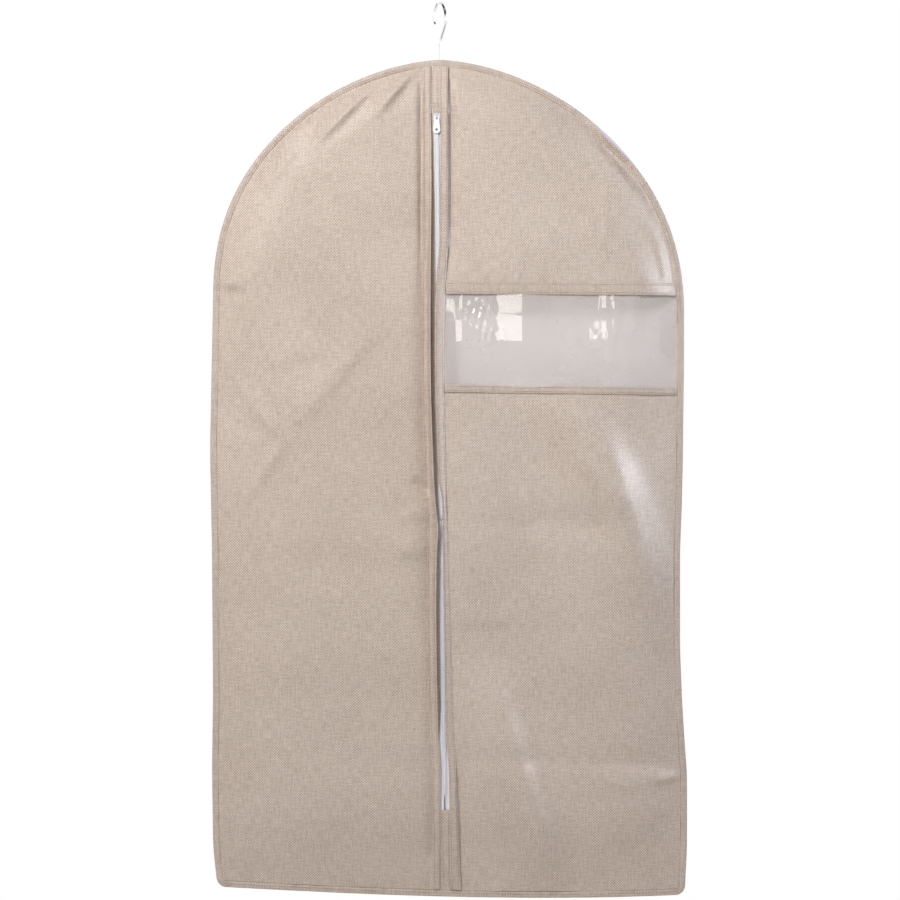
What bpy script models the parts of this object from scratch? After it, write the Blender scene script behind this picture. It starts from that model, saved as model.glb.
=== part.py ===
# A hanging garment bag with a clear window, a centre zip and the hanger inside it.
# Metres, +Z up, the front faces -Y, and the origin is where a rail meets the inside of the hook.
import math

import bmesh
import bpy
from mathutils import Vector

# The bag's outline
LEFT_WIDTH = 0.290
RIGHT_WIDTH = 0.311
BAG_HEIGHT = 1.066
LEFT_RISE = 0.290
RIGHT_RISE = 0.321
DOME_SIDE_POWER = 1.16
DOME_TOP_POWER = 0.952
CORNER_RADIUS = 0.012
HOOK_DROP = 0.072

# Depth of the filled bag, and how far in from the seam the swell reaches
SWELL = 0.018
SWELL_REACH = 0.050
NECK_SWELL = 0.003
NECK_WIDTH = 0.014
NECK_REACH = 0.022

# Cloth and seams
CLOTH = 0.0008
PANE = 0.0005
FOLD = 0.0012
BINDING_WIDTH = 0.010
BINDING_THICKNESS = 0.0032
LAYER_GAP = 0.0003
SEAM_GAP = 0.0004

# Window in the right half of the front, measured down from the bag's top
WINDOW_TOP = 0.299
WINDOW_HEIGHT = 0.115
WINDOW_TOP_BINDING = 0.016
WINDOW_BOTTOM_BINDING = 0.010

# Zip, which starts a little to the left of the hook and leans to the right as it runs down
ZIP_X = -0.0045
ZIP_LEAN = 0.0119
ZIP_GAP_HALF = 0.0055
FACING_WIDTH = 0.010
PANEL_EDGE = 0.008
TAB_HALF = 0.0076
TOP_TAB_LENGTH = 0.069
BOTTOM_TAB_LENGTH = 0.112
TAPE_THICKNESS = 0.0006
TAPE_INNER = 0.0008
TAPE_OUTER = 0.016
COIL_RADIUS = 0.0009
COIL_PLACE = 0.0018

# Zip slider and its pull
SLIDER_LENGTH = 0.011
SLIDER_HALF = 0.0046
SLIDER_TOE_HALF = 0.0039
SLIDER_PLATE = 0.0010
SLIDER_FLANGE = 0.0010
SLIDER_POST = 0.0009
SLIDER_CLEARANCE = 0.00035
BAIL_WIRE = 0.00055
PULL_LENGTH = 0.022
PULL_THICKNESS = 0.0012
PULL_TOP_HALF = 0.0032
PULL_END_HALF = 0.0048
PULL_BAR = 0.0012
PULL_EYE_HALF = 0.0012
PULL_EYE_LENGTH = 0.0036
PULL_HOLE = 0.0016

# Hanger and hook
HANGER_HALF = 0.205
HANGER_THICKNESS = 0.011
HANGER_EDGE_ROUND = 0.0015
HANGER_ARM_ROOT = 0.026
HANGER_ARM_END = 0.018
HANGER_BOSS_HALF = 0.014
HANGER_BOSS_HEIGHT = 0.042
WIRE_RADIUS = 0.0018
HOOK_RADIUS = 0.021
HOOK_TURN = 70.0
SWIVEL_CLEARANCE = 0.0001
SWIVEL_DEPTH = 0.018
SWIVEL_WINDOW = 0.010
SWIVEL_WINDOW_HALF = 0.006
HEAD_RADIUS = 0.0037
HEAD_HEIGHT = 0.003

TOP = -HOOK_DROP
BOTTOM = TOP - BAG_HEIGHT
SEAM_HALF = CLOTH + LAYER_GAP / 2
ZIP_TOP = TOP - TOP_TAB_LENGTH
ZIP_BOTTOM = BOTTOM + BOTTOM_TAB_LENGTH
FACING_OUT = ZIP_GAP_HALF + FACING_WIDTH


def zip_line(z):
    """Where the middle of the zip is at height z: a straight line that leans to the right."""
    return ZIP_X + ZIP_LEAN * (ZIP_TOP - z)


for old in list(bpy.data.objects):
    bpy.data.objects.remove(old, do_unlink=True)
parts = bpy.data.collections.new("garment_bag")
cutters = bpy.data.collections.new("cutters")
bpy.context.scene.collection.children.link(parts)
bpy.context.scene.collection.children.link(cutters)


def paint(obj, colour, roughness, metallic=0.0, alpha=1.0):
    """Give the object a plain material of its own."""
    material = bpy.data.materials.new(obj.name)
    material.use_nodes = True
    shader = material.node_tree.nodes["Principled BSDF"]
    shader.inputs["Base Color"].default_value = (*colour, 1.0)
    shader.inputs["Roughness"].default_value = roughness
    shader.inputs["Metallic"].default_value = metallic
    shader.inputs["Alpha"].default_value = alpha
    obj.data.materials.clear()
    obj.data.materials.append(material)


LINEN = (0.62, 0.51, 0.43)
LINEN_EDGE = (0.58, 0.47, 0.39)
ZIP_WHITE = (0.76, 0.74, 0.79)


def empty_at(name, place):
    """An empty on a joint's axis, for the pieces that turn about it."""
    obj = bpy.data.objects.new(name, None)
    obj.location = place
    parts.objects.link(obj)
    return obj


def carry(obj, holder):
    """Parent the object to an empty or object without moving it."""
    obj.parent = holder
    obj.matrix_parent_inverse.identity()
    obj.location = Vector(obj.location) - Vector(holder.location)


def width_of(side):
    """Width of one half of the bag, from the hook's axis: side is -1 for the left half and 1 for the right."""
    return RIGHT_WIDTH if side > 0 else LEFT_WIDTH


def rise_of(side):
    """Rise of the dome's outline on one side."""
    return RIGHT_RISE if side > 0 else LEFT_RISE


def dome_point(turn, inset, side):
    """Half width and height of the dome's outline: x = a cos^p, z = b sin^q, with both radii less the inset."""
    x = (width_of(side) - inset) * max(math.cos(turn), 0.0) ** DOME_SIDE_POWER
    z = TOP - rise_of(side) + (rise_of(side) - inset) * max(math.sin(turn), 0.0) ** DOME_TOP_POWER
    return x, z


def dome_turn(x, inset, side):
    """The dome's parameter at half width x."""
    share = min(abs(x) / (width_of(side) - inset), 1.0)
    return math.acos(share ** (1 / DOME_SIDE_POWER))


def half_width(z, inset, side):
    """Half width of the outline at height z."""
    share = min(max((z - TOP + rise_of(side)) / (rise_of(side) - inset), 0.0), 1.0)
    turn = math.asin(share ** (1 / DOME_TOP_POWER))
    return dome_point(turn, inset, side)[0]


def dome_height(x, inset):
    """Height of the outline's top at x."""
    side = 1 if x > 0 else -1
    return dome_point(dome_turn(x, inset, side), inset, side)[1]


def rise(distance):
    """Swell from 0 at the seam to 1 at its reach: a quarter sine wave."""
    return math.sin(math.pi / 2 * min(max(distance / SWELL_REACH, 0.0), 1.0))


def half_depth(x, z):
    """Half the bag's depth at a point, by its distance from the sloping seam and from the bottom seam."""
    across = max(half_width(z, BINDING_WIDTH, 1 if x > 0 else -1) - abs(x), 0.0)
    up = max(dome_height(x, BINDING_WIDTH) - z, 0.0)
    slant = across * up / max(math.hypot(across, up), 1e-9)
    down = z - BOTTOM - BINDING_WIDTH
    neck = NECK_SWELL * math.exp(-((x / NECK_WIDTH) ** 2) - ((TOP - z) / NECK_REACH) ** 2)
    return SEAM_HALF + neck + SWELL * rise(slant) * rise(down)


def sheet(name, columns, levels, place, thickness, holder=None):
    """A piece of cloth: a grid set out by place(share across, level), thickened inwards."""
    rows = len(levels) - 1
    mesh = bpy.data.meshes.new(name)
    grid = bmesh.new()
    bmesh.ops.create_grid(grid, x_segments=columns, y_segments=rows, size=0.5)
    for vertex in grid.verts:
        level = levels[round((vertex.co.y + 0.5) * rows)]
        vertex.co = place(vertex.co.x + 0.5, level)
    grid.normal_update()
    grid.to_mesh(mesh)
    grid.free()
    obj = bpy.data.objects.new(name, mesh)
    parts.objects.link(obj)
    shell = obj.modifiers.new("thickness", "SOLIDIFY")
    shell.thickness = thickness
    shell.offset = -1.0
    shell.use_even_offset = True
    if holder:
        origin = Vector(holder.location)
        for vertex in mesh.vertices:
            vertex.co -= origin
        obj.location = origin
        carry(obj, holder)
    return obj


def levels_between(low, high):
    """Heights for a sheet's rows: close together in the bottom swell and up the dome."""
    steps = [BOTTOM + BINDING_WIDTH + SWELL_REACH * share for share in (0.15, 0.32, 0.55, 0.78, 1.0)]
    spring = TOP - (LEFT_RISE + RIGHT_RISE) / 2
    steps += [spring - (spring - BOTTOM) * share for share in (0.66, 0.33, 0.12, 0.03)]
    steps += [dome_point(math.radians(turn), BINDING_WIDTH, -1)[1] for turn in (4, 12, 21, 30, 38, 46, 54, 61, 68, 74, 79, 83)]
    inside = [z for z in steps if low + 0.004 < z < high - 0.0015]
    return [low] + inside + [high]


# Hinge lines of the two front halves, at the side seams and in front of the binding
HINGE_Y = -(BINDING_THICKNESS / 2 + LAYER_GAP)
HINGE_Z = TOP - BAG_HEIGHT / 2
left_hinge = empty_at("left_flap_hinge", (-(LEFT_WIDTH - BINDING_WIDTH - SEAM_GAP), HINGE_Y, HINGE_Z))
right_hinge = empty_at("right_flap_hinge", (RIGHT_WIDTH - BINDING_WIDTH - SEAM_GAP, HINGE_Y, HINGE_Z))

PANEL_INSET = BINDING_WIDTH + SEAM_GAP
PANEL_TIP = FACING_OUT + abs(zip_line(TOP)) + SEAM_GAP
PANEL_LOW = BOTTOM + PANEL_INSET
PANEL_HIGH = min(dome_height(-PANEL_TIP, PANEL_INSET), dome_height(PANEL_TIP, PANEL_INSET))


def spread(share):
    """Columns close together towards the seam."""
    return 1 - (1 - share) ** 1.6


def front_half(side, inner):
    """Place points on one half of the front: side is -1 for the left half and 1 for the right."""

    def place(share, z):
        start = inner + side * zip_line(z)
        outer = half_width(z, PANEL_INSET, side)
        x = side * (start + (outer - start) * spread(share if side > 0 else 1 - share))
        return Vector((x, -half_depth(x, z), z))

    return place


def back_place(share, z):
    """Place points on the back, from the right seam to the left."""
    way = 1 - 2 * share
    x = math.copysign(half_width(z, PANEL_INSET, 1 if way > 0 else -1) * spread(abs(way)), way)
    return Vector((x, half_depth(x, z), z))


# Cloth panels
left_panel = sheet("left_front_panel", 12, levels_between(PANEL_LOW, PANEL_HIGH), front_half(-1, PANEL_EDGE), CLOTH, left_hinge)
paint(left_panel, LINEN, 0.85)

WINDOW_HIGH = TOP - WINDOW_TOP
WINDOW_LOW = WINDOW_HIGH - WINDOW_HEIGHT
UPPER_EDGE = WINDOW_HIGH + WINDOW_TOP_BINDING / 2
LOWER_EDGE = WINDOW_LOW - WINDOW_BOTTOM_BINDING / 2
upper_panel = sheet("right_front_upper_panel", 12, levels_between(UPPER_EDGE, PANEL_HIGH), front_half(1, PANEL_EDGE), CLOTH, right_hinge)
paint(upper_panel, LINEN, 0.85)
lower_panel = sheet("right_front_lower_panel", 12, levels_between(PANEL_LOW, LOWER_EDGE), front_half(1, PANEL_EDGE), CLOTH, right_hinge)
paint(lower_panel, LINEN, 0.85)
pane = sheet("window_pane", 12, levels_between(LOWER_EDGE + SEAM_GAP, UPPER_EDGE - SEAM_GAP), front_half(1, PANEL_EDGE), PANE, right_hinge)
paint(pane, (0.86, 0.84, 0.82), 0.12, alpha=0.45)
back_panel = sheet("back_panel", 24, levels_between(PANEL_LOW, PANEL_HIGH), back_place, CLOTH)
paint(back_panel, LINEN, 0.85)


def folded(side, inner, outer, inset):
    """Place points on a folded strip that lies on the front panels."""

    def place(share, z):
        start = inner + side * zip_line(z)
        edge = outer + side * zip_line(z) if outer else half_width(z, inset, side)
        reach = share if side > 0 else 1 - share
        x = side * (start + (edge - start) * (reach if outer else spread(reach)))
        return Vector((x, -(half_depth(x, z) + LAYER_GAP + FOLD), z))

    return place


# Folded strips on the panels: the zip's two facings and the window's two bindings
FACING_HIGH = PANEL_HIGH
left_facing = sheet("left_zip_facing", 2, levels_between(PANEL_LOW, FACING_HIGH), folded(-1, ZIP_GAP_HALF, FACING_OUT, 0), FOLD, left_hinge)
paint(left_facing, LINEN_EDGE, 0.85)
right_facing = sheet("right_zip_facing", 2, levels_between(PANEL_LOW, FACING_HIGH), folded(1, ZIP_GAP_HALF, FACING_OUT, 0), FOLD, right_hinge)
paint(right_facing, LINEN_EDGE, 0.85)
strip_levels = [WINDOW_HIGH, WINDOW_HIGH + WINDOW_TOP_BINDING / 2, WINDOW_HIGH + WINDOW_TOP_BINDING]
window_top = sheet("window_top_binding", 12, strip_levels, folded(1, FACING_OUT + LAYER_GAP, 0, PANEL_INSET), FOLD, right_hinge)
paint(window_top, LINEN_EDGE, 0.85)
strip_levels = [WINDOW_LOW - WINDOW_BOTTOM_BINDING, WINDOW_LOW - WINDOW_BOTTOM_BINDING / 2, WINDOW_LOW]
window_bottom = sheet("window_bottom_binding", 12, strip_levels, folded(1, FACING_OUT + LAYER_GAP, 0, PANEL_INSET), FOLD, right_hinge)
paint(window_bottom, LINEN_EDGE, 0.85)


def tab_place(share, z):
    """Place points on the tabs that close the front above and below the zip."""
    x = zip_line(z) + TAB_HALF * (2 * share - 1)
    return Vector((x, -half_depth(x, z), z))


def lip_place(share, z):
    """Place points on the lip behind the hook, which faces the top tab across the hook's slot."""
    x = zip_line(z) + TAB_HALF * (1 - 2 * share)
    return Vector((x, half_depth(x, z), z))


TAB_HIGH = dome_height(zip_line(TOP) - TAB_HALF, 0.0)
top_tab = sheet("zip_top_tab", 4, levels_between(ZIP_TOP, TAB_HIGH), tab_place, CLOTH)
paint(top_tab, LINEN, 0.85)
LIP_LOW = PANEL_HIGH + SEAM_GAP
slot_lip = sheet("hook_slot_lip", 4, [LIP_LOW, (LIP_LOW + TAB_HIGH) / 2, TAB_HIGH], lip_place, CLOTH)
paint(slot_lip, LINEN, 0.85)
bottom_tab = sheet("zip_bottom_tab", 4, levels_between(PANEL_LOW, ZIP_BOTTOM), tab_place, CLOTH)
paint(bottom_tab, LINEN, 0.85)


# Edge binding: two side pieces that end at the hook's slot, and a bottom piece between them
def binding_place(side):
    def place(share, level):
        kind, value = level
        reach = share if side > 0 else 1 - share
        if kind == "dome":
            inner, outer = dome_point(value, BINDING_WIDTH, side), dome_point(value, 0.0, side)
            x = inner[0] + (outer[0] - inner[0]) * reach
            z = inner[1] + (outer[1] - inner[1]) * reach
        else:
            cut = max(CORNER_RADIUS - (value - BOTTOM), 0.0)
            edge = width_of(side) - CORNER_RADIUS + math.sqrt(max(CORNER_RADIUS**2 - cut**2, 0.0))
            inner = width_of(side) - BINDING_WIDTH
            x = inner + max(edge - inner, 0.001) * reach
            z = value
        return Vector((side * x, -BINDING_THICKNESS / 2, z))

    return place


def binding_levels(side):
    """Stations up the side and along the dome, to the edge of the hook's slot."""
    slot_turn = dome_turn(TAB_HALF + side * zip_line(TOP) + SEAM_GAP, BINDING_WIDTH, side)
    straight = BAG_HEIGHT - rise_of(side)
    levels = [("side", BOTTOM + CORNER_RADIUS * share) for share in (0.0, 0.12, 0.3, 0.6, 1.0)]
    levels += [("side", BOTTOM + straight * share) for share in (0.35, 0.7)]
    return levels + [("dome", slot_turn * step / 22) for step in range(23)]


left_binding = sheet("left_edge_binding", 2, binding_levels(-1), binding_place(-1), BINDING_THICKNESS)
paint(left_binding, LINEN_EDGE, 0.85)
right_binding = sheet("right_edge_binding", 2, binding_levels(1), binding_place(1), BINDING_THICKNESS)
paint(right_binding, LINEN_EDGE, 0.85)


def bottom_place(share, z):
    """Place points on the bottom binding."""
    left = -(LEFT_WIDTH - BINDING_WIDTH - LAYER_GAP)
    right = RIGHT_WIDTH - BINDING_WIDTH - LAYER_GAP
    x = left + (right - left) * share
    return Vector((x, -BINDING_THICKNESS / 2, z))


bottom_levels = [BOTTOM, BOTTOM + BINDING_WIDTH / 2, BOTTOM + BINDING_WIDTH]
bottom_binding = sheet("bottom_edge_binding", 4, bottom_levels, bottom_place, BINDING_THICKNESS)
paint(bottom_binding, LINEN_EDGE, 0.85)

# Zip tapes behind the panels, and the two rows of coil on them
FRONT = half_depth(ZIP_X, (ZIP_TOP + ZIP_BOTTOM) / 2)
TAPE_FRONT = FRONT - CLOTH - LAYER_GAP
COIL_CENTRE = TAPE_FRONT + LAYER_GAP + COIL_RADIUS
zip_levels = [ZIP_BOTTOM + SEAM_GAP, (ZIP_TOP + ZIP_BOTTOM) / 2, ZIP_TOP - SEAM_GAP]


def tape_place(side):
    def place(share, z):
        reach = share if side > 0 else 1 - share
        x = TAPE_INNER + (TAPE_OUTER - TAPE_INNER) * reach
        return Vector((zip_line(z) + side * x, -TAPE_FRONT, z))

    return place


def coil(name, side, holder):
    """One row of the zip, as a straight bead along the zip's line."""
    low, high = ZIP_BOTTOM + SEAM_GAP, ZIP_TOP - SEAM_GAP
    curve = bpy.data.curves.new(name, "CURVE")
    curve.dimensions = "3D"
    curve.bevel_depth = COIL_RADIUS
    curve.bevel_resolution = 2
    curve.use_fill_caps = True
    spline = curve.splines.new("POLY")
    spline.points.add(1)
    spline.points[0].co = (0.0, 0.0, 0.0, 1.0)
    spline.points[1].co = (zip_line(high) - zip_line(low), 0.0, high - low, 1.0)
    obj = bpy.data.objects.new(name, curve)
    obj.location = (zip_line(low) + side * COIL_PLACE, -COIL_CENTRE, low)
    parts.objects.link(obj)
    carry(obj, holder)
    return obj


left_tape = sheet("left_zip_tape", 2, zip_levels, tape_place(-1), TAPE_THICKNESS, left_hinge)
paint(left_tape, ZIP_WHITE, 0.75)
right_tape = sheet("right_zip_tape", 2, zip_levels, tape_place(1), TAPE_THICKNESS, right_hinge)
paint(right_tape, ZIP_WHITE, 0.75)
left_coil = coil("left_zip_coil", -1, left_hinge)
paint(left_coil, ZIP_WHITE, 0.4)
right_coil = coil("right_zip_coil", 1, right_hinge)
paint(right_coil, ZIP_WHITE, 0.4)


# Shapes cut from a flat outline stand in the XZ plane, with their middle in the object's origin plane
def flat_curve(name, outlines, thickness, round_edge=0.0):
    """A 2D outline with holes, filled and extruded to the thickness."""
    curve = bpy.data.curves.new(name, "CURVE")
    curve.dimensions = "2D"
    curve.fill_mode = "BOTH"
    curve.extrude = thickness / 2 - round_edge
    curve.bevel_depth = round_edge
    curve.bevel_resolution = 1
    curve.offset = -round_edge
    for outline in outlines:
        spline = curve.splines.new("POLY")
        spline.points.add(len(outline) - 1)
        for point, (x, z) in zip(spline.points, outline):
            point.co = (x, z, 0.0, 1.0)
        spline.use_cyclic_u = True
    obj = bpy.data.objects.new(name, curve)
    obj.rotation_euler = (math.pi / 2, 0.0, 0.0)
    return obj


def as_mesh(shape, name, home):
    """Turn a curve object into a mesh object that Boolean modifiers can work on."""
    holder = bpy.context.scene.collection
    holder.objects.link(shape)
    bpy.context.view_layer.update()
    mesh = bpy.data.meshes.new_from_object(shape.evaluated_get(bpy.context.evaluated_depsgraph_get()))
    mesh.name = name
    welded = bmesh.new()
    welded.from_mesh(mesh)
    bmesh.ops.remove_doubles(welded, verts=welded.verts, dist=1e-6)
    bmesh.ops.recalc_face_normals(welded, faces=welded.faces)
    welded.to_mesh(mesh)
    welded.free()
    obj = bpy.data.objects.new(name, mesh)
    obj.location = shape.location
    obj.rotation_euler = shape.rotation_euler
    bpy.data.objects.remove(shape, do_unlink=True)
    home.objects.link(obj)
    if home is cutters:
        obj.hide_render = True
        obj.display_type = "WIRE"
    return obj


def box_tool(name, low, high):
    """A box for a Boolean modifier."""
    mesh = bpy.data.meshes.new(name)
    shape = bmesh.new()
    bmesh.ops.create_cube(shape, size=1.0)
    for vertex in shape.verts:
        vertex.co = [(a + b) / 2 + (b - a) * c for a, b, c in zip(low, high, vertex.co)]
    shape.to_mesh(mesh)
    shape.free()
    obj = bpy.data.objects.new(name, mesh)
    cutters.objects.link(obj)
    obj.hide_render = True
    obj.display_type = "WIRE"
    return obj


def rod_tool(name, radius, low, high, sides=24):
    """An upright rod on the hook's axis for a Boolean modifier."""
    mesh = bpy.data.meshes.new(name)
    shape = bmesh.new()
    bmesh.ops.create_cone(shape, cap_ends=True, segments=sides, radius1=radius, radius2=radius, depth=high - low)
    bmesh.ops.translate(shape, verts=shape.verts, vec=(0.0, 0.0, (low + high) / 2))
    shape.to_mesh(mesh)
    shape.free()
    obj = bpy.data.objects.new(name, mesh)
    cutters.objects.link(obj)
    obj.hide_render = True
    obj.display_type = "WIRE"
    return obj


def combine(obj, tool, operation):
    """Join or cut with another solid."""
    modifier = obj.modifiers.new(tool.name, "BOOLEAN")
    modifier.operation = operation
    modifier.solver = "EXACT"
    modifier.object = tool


# Hanger: its boss and its arm ends carry the cloth just under the seam
seat = SWELL_REACH * 2 / math.pi * math.asin((HANGER_THICKNESS / 2 + CLOTH + 2 * LAYER_GAP - SEAM_HALF) / SWELL)
BOSS_TOP = dome_height(-HANGER_BOSS_HALF, BINDING_WIDTH) - seat * 1.05
end_turn = dome_turn(HANGER_HALF, BINDING_WIDTH, -1)
ahead = dome_point(end_turn + 0.02, BINDING_WIDTH, -1)
behind = dome_point(end_turn - 0.02, BINDING_WIDTH, -1)
end_slope = math.atan2(ahead[1] - behind[1], behind[0] - ahead[0])
ARM_END = dome_height(-HANGER_HALF, BINDING_WIDTH) - seat / math.cos(end_slope) * 1.03
arm_length = HANGER_HALF - HANGER_BOSS_HALF


def arm_top(x):
    """Height of the arm's top edge, a line with a slight rise in the middle."""
    share = (x - HANGER_BOSS_HALF) / arm_length
    return BOSS_TOP + (ARM_END - BOSS_TOP) * share + 0.006 * math.sin(math.pi * share)


def arm_depth(x):
    """Height of the arm's section."""
    share = (x - HANGER_BOSS_HALF) / arm_length
    return HANGER_ARM_ROOT + (HANGER_ARM_END - HANGER_ARM_ROOT) * share


arm_x = [HANGER_BOSS_HALF + arm_length * step / 9 for step in range(10)]
right_side = [(x, arm_top(x)) for x in arm_x]
tip_low = arm_top(HANGER_HALF) - HANGER_ARM_END
for step in range(1, 6):
    angle = math.pi / 2 - math.pi * step / 6
    reach = HANGER_ARM_END / 2
    right_side.append((HANGER_HALF + 0.6 * reach * math.cos(angle), tip_low + reach + reach * math.sin(angle)))
right_side += [(x, arm_top(x) - arm_depth(x)) for x in reversed(arm_x[1:])]
right_side += [(HANGER_BOSS_HALF + 0.010, BOSS_TOP - HANGER_BOSS_HEIGHT + 0.004), (HANGER_BOSS_HALF, BOSS_TOP - HANGER_BOSS_HEIGHT)]
hanger_outline = right_side + [(-x, z) for x, z in reversed(right_side)]
hanger = as_mesh(flat_curve("hanger_outline", [hanger_outline], HANGER_THICKNESS, HANGER_EDGE_ROUND), "hanger_body", parts)
BORE_LOW = BOSS_TOP - SWIVEL_DEPTH
combine(hanger, rod_tool("swivel_bore", WIRE_RADIUS + SWIVEL_CLEARANCE, BORE_LOW - 0.001, BOSS_TOP + 0.005), "DIFFERENCE")
window_low = (-SWIVEL_WINDOW_HALF, -HANGER_THICKNESS, BORE_LOW - SWIVEL_WINDOW)
window_high = (SWIVEL_WINDOW_HALF, HANGER_THICKNESS, BORE_LOW)
combine(hanger, box_tool("swivel_window", window_low, window_high), "DIFFERENCE")
paint(hanger, (0.75, 0.74, 0.72), 0.45)

# Hook: bent wire with a head formed on its lower end, which turns in the hanger's boss
HEAD_TOP = BORE_LOW - LAYER_GAP
HOOK_CENTRE = WIRE_RADIUS - HOOK_RADIUS
wire_path = []
for step in range(15):
    angle = math.radians(205 - 210 * step / 14)
    wire_path.append((HOOK_RADIUS * math.cos(angle), HOOK_CENTRE + HOOK_RADIUS * math.sin(angle)))
for along, out in ((0.22, 0.86), (0.42, 0.62), (0.62, 0.36), (0.80, 0.14), (0.92, 0.03), (1.0, 0.0)):
    wire_path.append((HOOK_RADIUS * out, HOOK_CENTRE - (HOOK_DROP * 0.70 + HOOK_CENTRE) * along))
wire_path.append((0.0, BOSS_TOP - SWIVEL_DEPTH / 2))
wire_path.append((0.0, HEAD_TOP - HEAD_HEIGHT / 2))
wire = bpy.data.curves.new("hook_wire", "CURVE")
wire.dimensions = "3D"
wire.twist_mode = "MINIMUM"
wire.bevel_depth = WIRE_RADIUS
wire.bevel_resolution = 4
wire.use_fill_caps = True
spline = wire.splines.new("POLY")
spline.points.add(len(wire_path) - 1)
for point, (x, z) in zip(spline.points, wire_path):
    point.co = (x, 0.0, z, 1.0)
hook = as_mesh(bpy.data.objects.new("hook_wire", wire), "hook", parts)
combine(hook, rod_tool("hook_head", HEAD_RADIUS, HEAD_TOP - HEAD_HEIGHT, HEAD_TOP), "UNION")
hook.modifiers["hook_head"].object.rotation_euler = (0.0, 0.0, math.radians(HOOK_TURN))
hook.rotation_euler = (0.0, 0.0, math.radians(HOOK_TURN))
paint(hook, (0.80, 0.80, 0.82), 0.12, metallic=1.0)

# Zip slider: two plates round the coil, joined by a post at the top end, with rails and a bail
PLATE_BACK = COIL_CENTRE + COIL_RADIUS + SLIDER_CLEARANCE
PLATE_FRONT = PLATE_BACK + SLIDER_PLATE
TAPE_BACK = TAPE_FRONT - TAPE_THICKNESS
LOWER_FRONT = TAPE_BACK - SLIDER_CLEARANCE
LOWER_BACK = LOWER_FRONT - SLIDER_PLATE
SLIDER_TOP = ZIP_TOP - LAYER_GAP
SLIDER_Z = SLIDER_TOP - SLIDER_LENGTH / 2
half = SLIDER_LENGTH / 2
plate_outline = [
    (SLIDER_HALF * 0.55, half),
    (SLIDER_HALF * 0.90, half * 0.86),
    (SLIDER_HALF, half * 0.55),
    (SLIDER_HALF, 0.0),
    (SLIDER_TOE_HALF, -half * 0.75),
    (SLIDER_TOE_HALF * 0.85, -half),
]
plate_outline += [(-x, z) for x, z in reversed(plate_outline)]
slider_place = Vector((ZIP_X, -(PLATE_BACK + PLATE_FRONT) / 2, SLIDER_Z))
slider_shape = flat_curve("slider_plate", [plate_outline], SLIDER_PLATE)
slider_shape.location = slider_place
slider = as_mesh(slider_shape, "zip_slider", parts)
lower_shape = flat_curve("slider_lower_plate", [plate_outline], SLIDER_PLATE)
lower_shape.location = (ZIP_X, -(LOWER_FRONT + LOWER_BACK) / 2, SLIDER_Z)
combine(slider, as_mesh(lower_shape, "slider_lower_plate", cutters), "UNION")
post_high = SLIDER_TOP - SLIDER_LENGTH * 0.10
post_low = (ZIP_X - SLIDER_POST / 2, -(PLATE_BACK + SLIDER_PLATE / 2), SLIDER_TOP - SLIDER_LENGTH * 0.45)
post_far = (ZIP_X + SLIDER_POST / 2, -(LOWER_BACK + SLIDER_PLATE / 2), post_high)
combine(slider, box_tool("slider_post", post_low, post_far), "UNION")
rail_inner = min(SLIDER_TOE_HALF, SLIDER_HALF) - SLIDER_FLANGE
for side, rail in ((-1, "slider_left_rail"), (1, "slider_right_rail")):
    sides = sorted((side * rail_inner, side * (rail_inner + SLIDER_FLANGE * 0.98)))
    rail_low = (ZIP_X + sides[0], -(PLATE_BACK + SLIDER_PLATE / 2), SLIDER_Z - half * 0.72)
    rail_high = (ZIP_X + sides[1], -(TAPE_FRONT + LAYER_GAP), SLIDER_Z + half * 0.52)
    combine(slider, box_tool(rail, rail_low, rail_high), "UNION")
BAR_Y = -(PLATE_FRONT + LAYER_GAP + PULL_THICKNESS / 2)
BAR_Z = SLIDER_Z + half * 0.20
bail_reach = PULL_THICKNESS / 2 + LAYER_GAP + BAIL_WIRE
bail_leg = PULL_BAR / 2 + LAYER_GAP + 2 * BAIL_WIRE
bail = bpy.data.curves.new("slider_bail", "CURVE")
bail.dimensions = "3D"
bail.bevel_depth = BAIL_WIRE
bail.bevel_resolution = 1
bail.use_fill_caps = True
bail_path = [
    (-(PLATE_FRONT - SLIDER_PLATE * 0.5), BAR_Z + bail_leg),
    (BAR_Y - bail_reach * 0.35, BAR_Z + bail_leg),
    (BAR_Y - bail_reach, BAR_Z + bail_leg * 0.5),
    (BAR_Y - bail_reach, BAR_Z - bail_leg * 0.5),
    (BAR_Y - bail_reach * 0.35, BAR_Z - bail_leg),
    (-(PLATE_FRONT - SLIDER_PLATE * 0.5), BAR_Z - bail_leg),
]
spline = bail.splines.new("POLY")
spline.points.add(len(bail_path) - 1)
for point, (y, z) in zip(spline.points, bail_path):
    point.co = (ZIP_X, y, z, 1.0)
combine(slider, as_mesh(bpy.data.objects.new("slider_bail", bail), "slider_bail", cutters), "UNION")
paint(slider, (0.80, 0.79, 0.82), 0.35)

# Pull: a flat tab with an eye round the bail and a hole near its round end
pull_outline = [(PULL_TOP_HALF * 0.8, PULL_BAR / 2), (PULL_TOP_HALF, PULL_BAR / 2 - 0.0008)]
waist = -PULL_LENGTH + PULL_BAR / 2 + PULL_END_HALF
pull_outline.append((PULL_TOP_HALF, -PULL_BAR / 2 - PULL_EYE_LENGTH))
for step in range(9):
    angle = math.radians(20 - 110 * step / 8)
    pull_outline.append((PULL_END_HALF * math.cos(angle), waist + PULL_END_HALF * math.sin(angle)))
pull_outline += [(-x, z) for x, z in reversed(pull_outline[:-1])]
eye_high = -PULL_BAR / 2
eye_low = eye_high - PULL_EYE_LENGTH
pull_eye = [(PULL_EYE_HALF, eye_high), (PULL_EYE_HALF, eye_low), (-PULL_EYE_HALF, eye_low), (-PULL_EYE_HALF, eye_high)]
pull_hole = []
for step in range(14):
    angle = 2 * math.pi * step / 14
    pull_hole.append((PULL_HOLE * math.cos(angle), waist + PULL_HOLE * math.sin(angle)))
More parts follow.
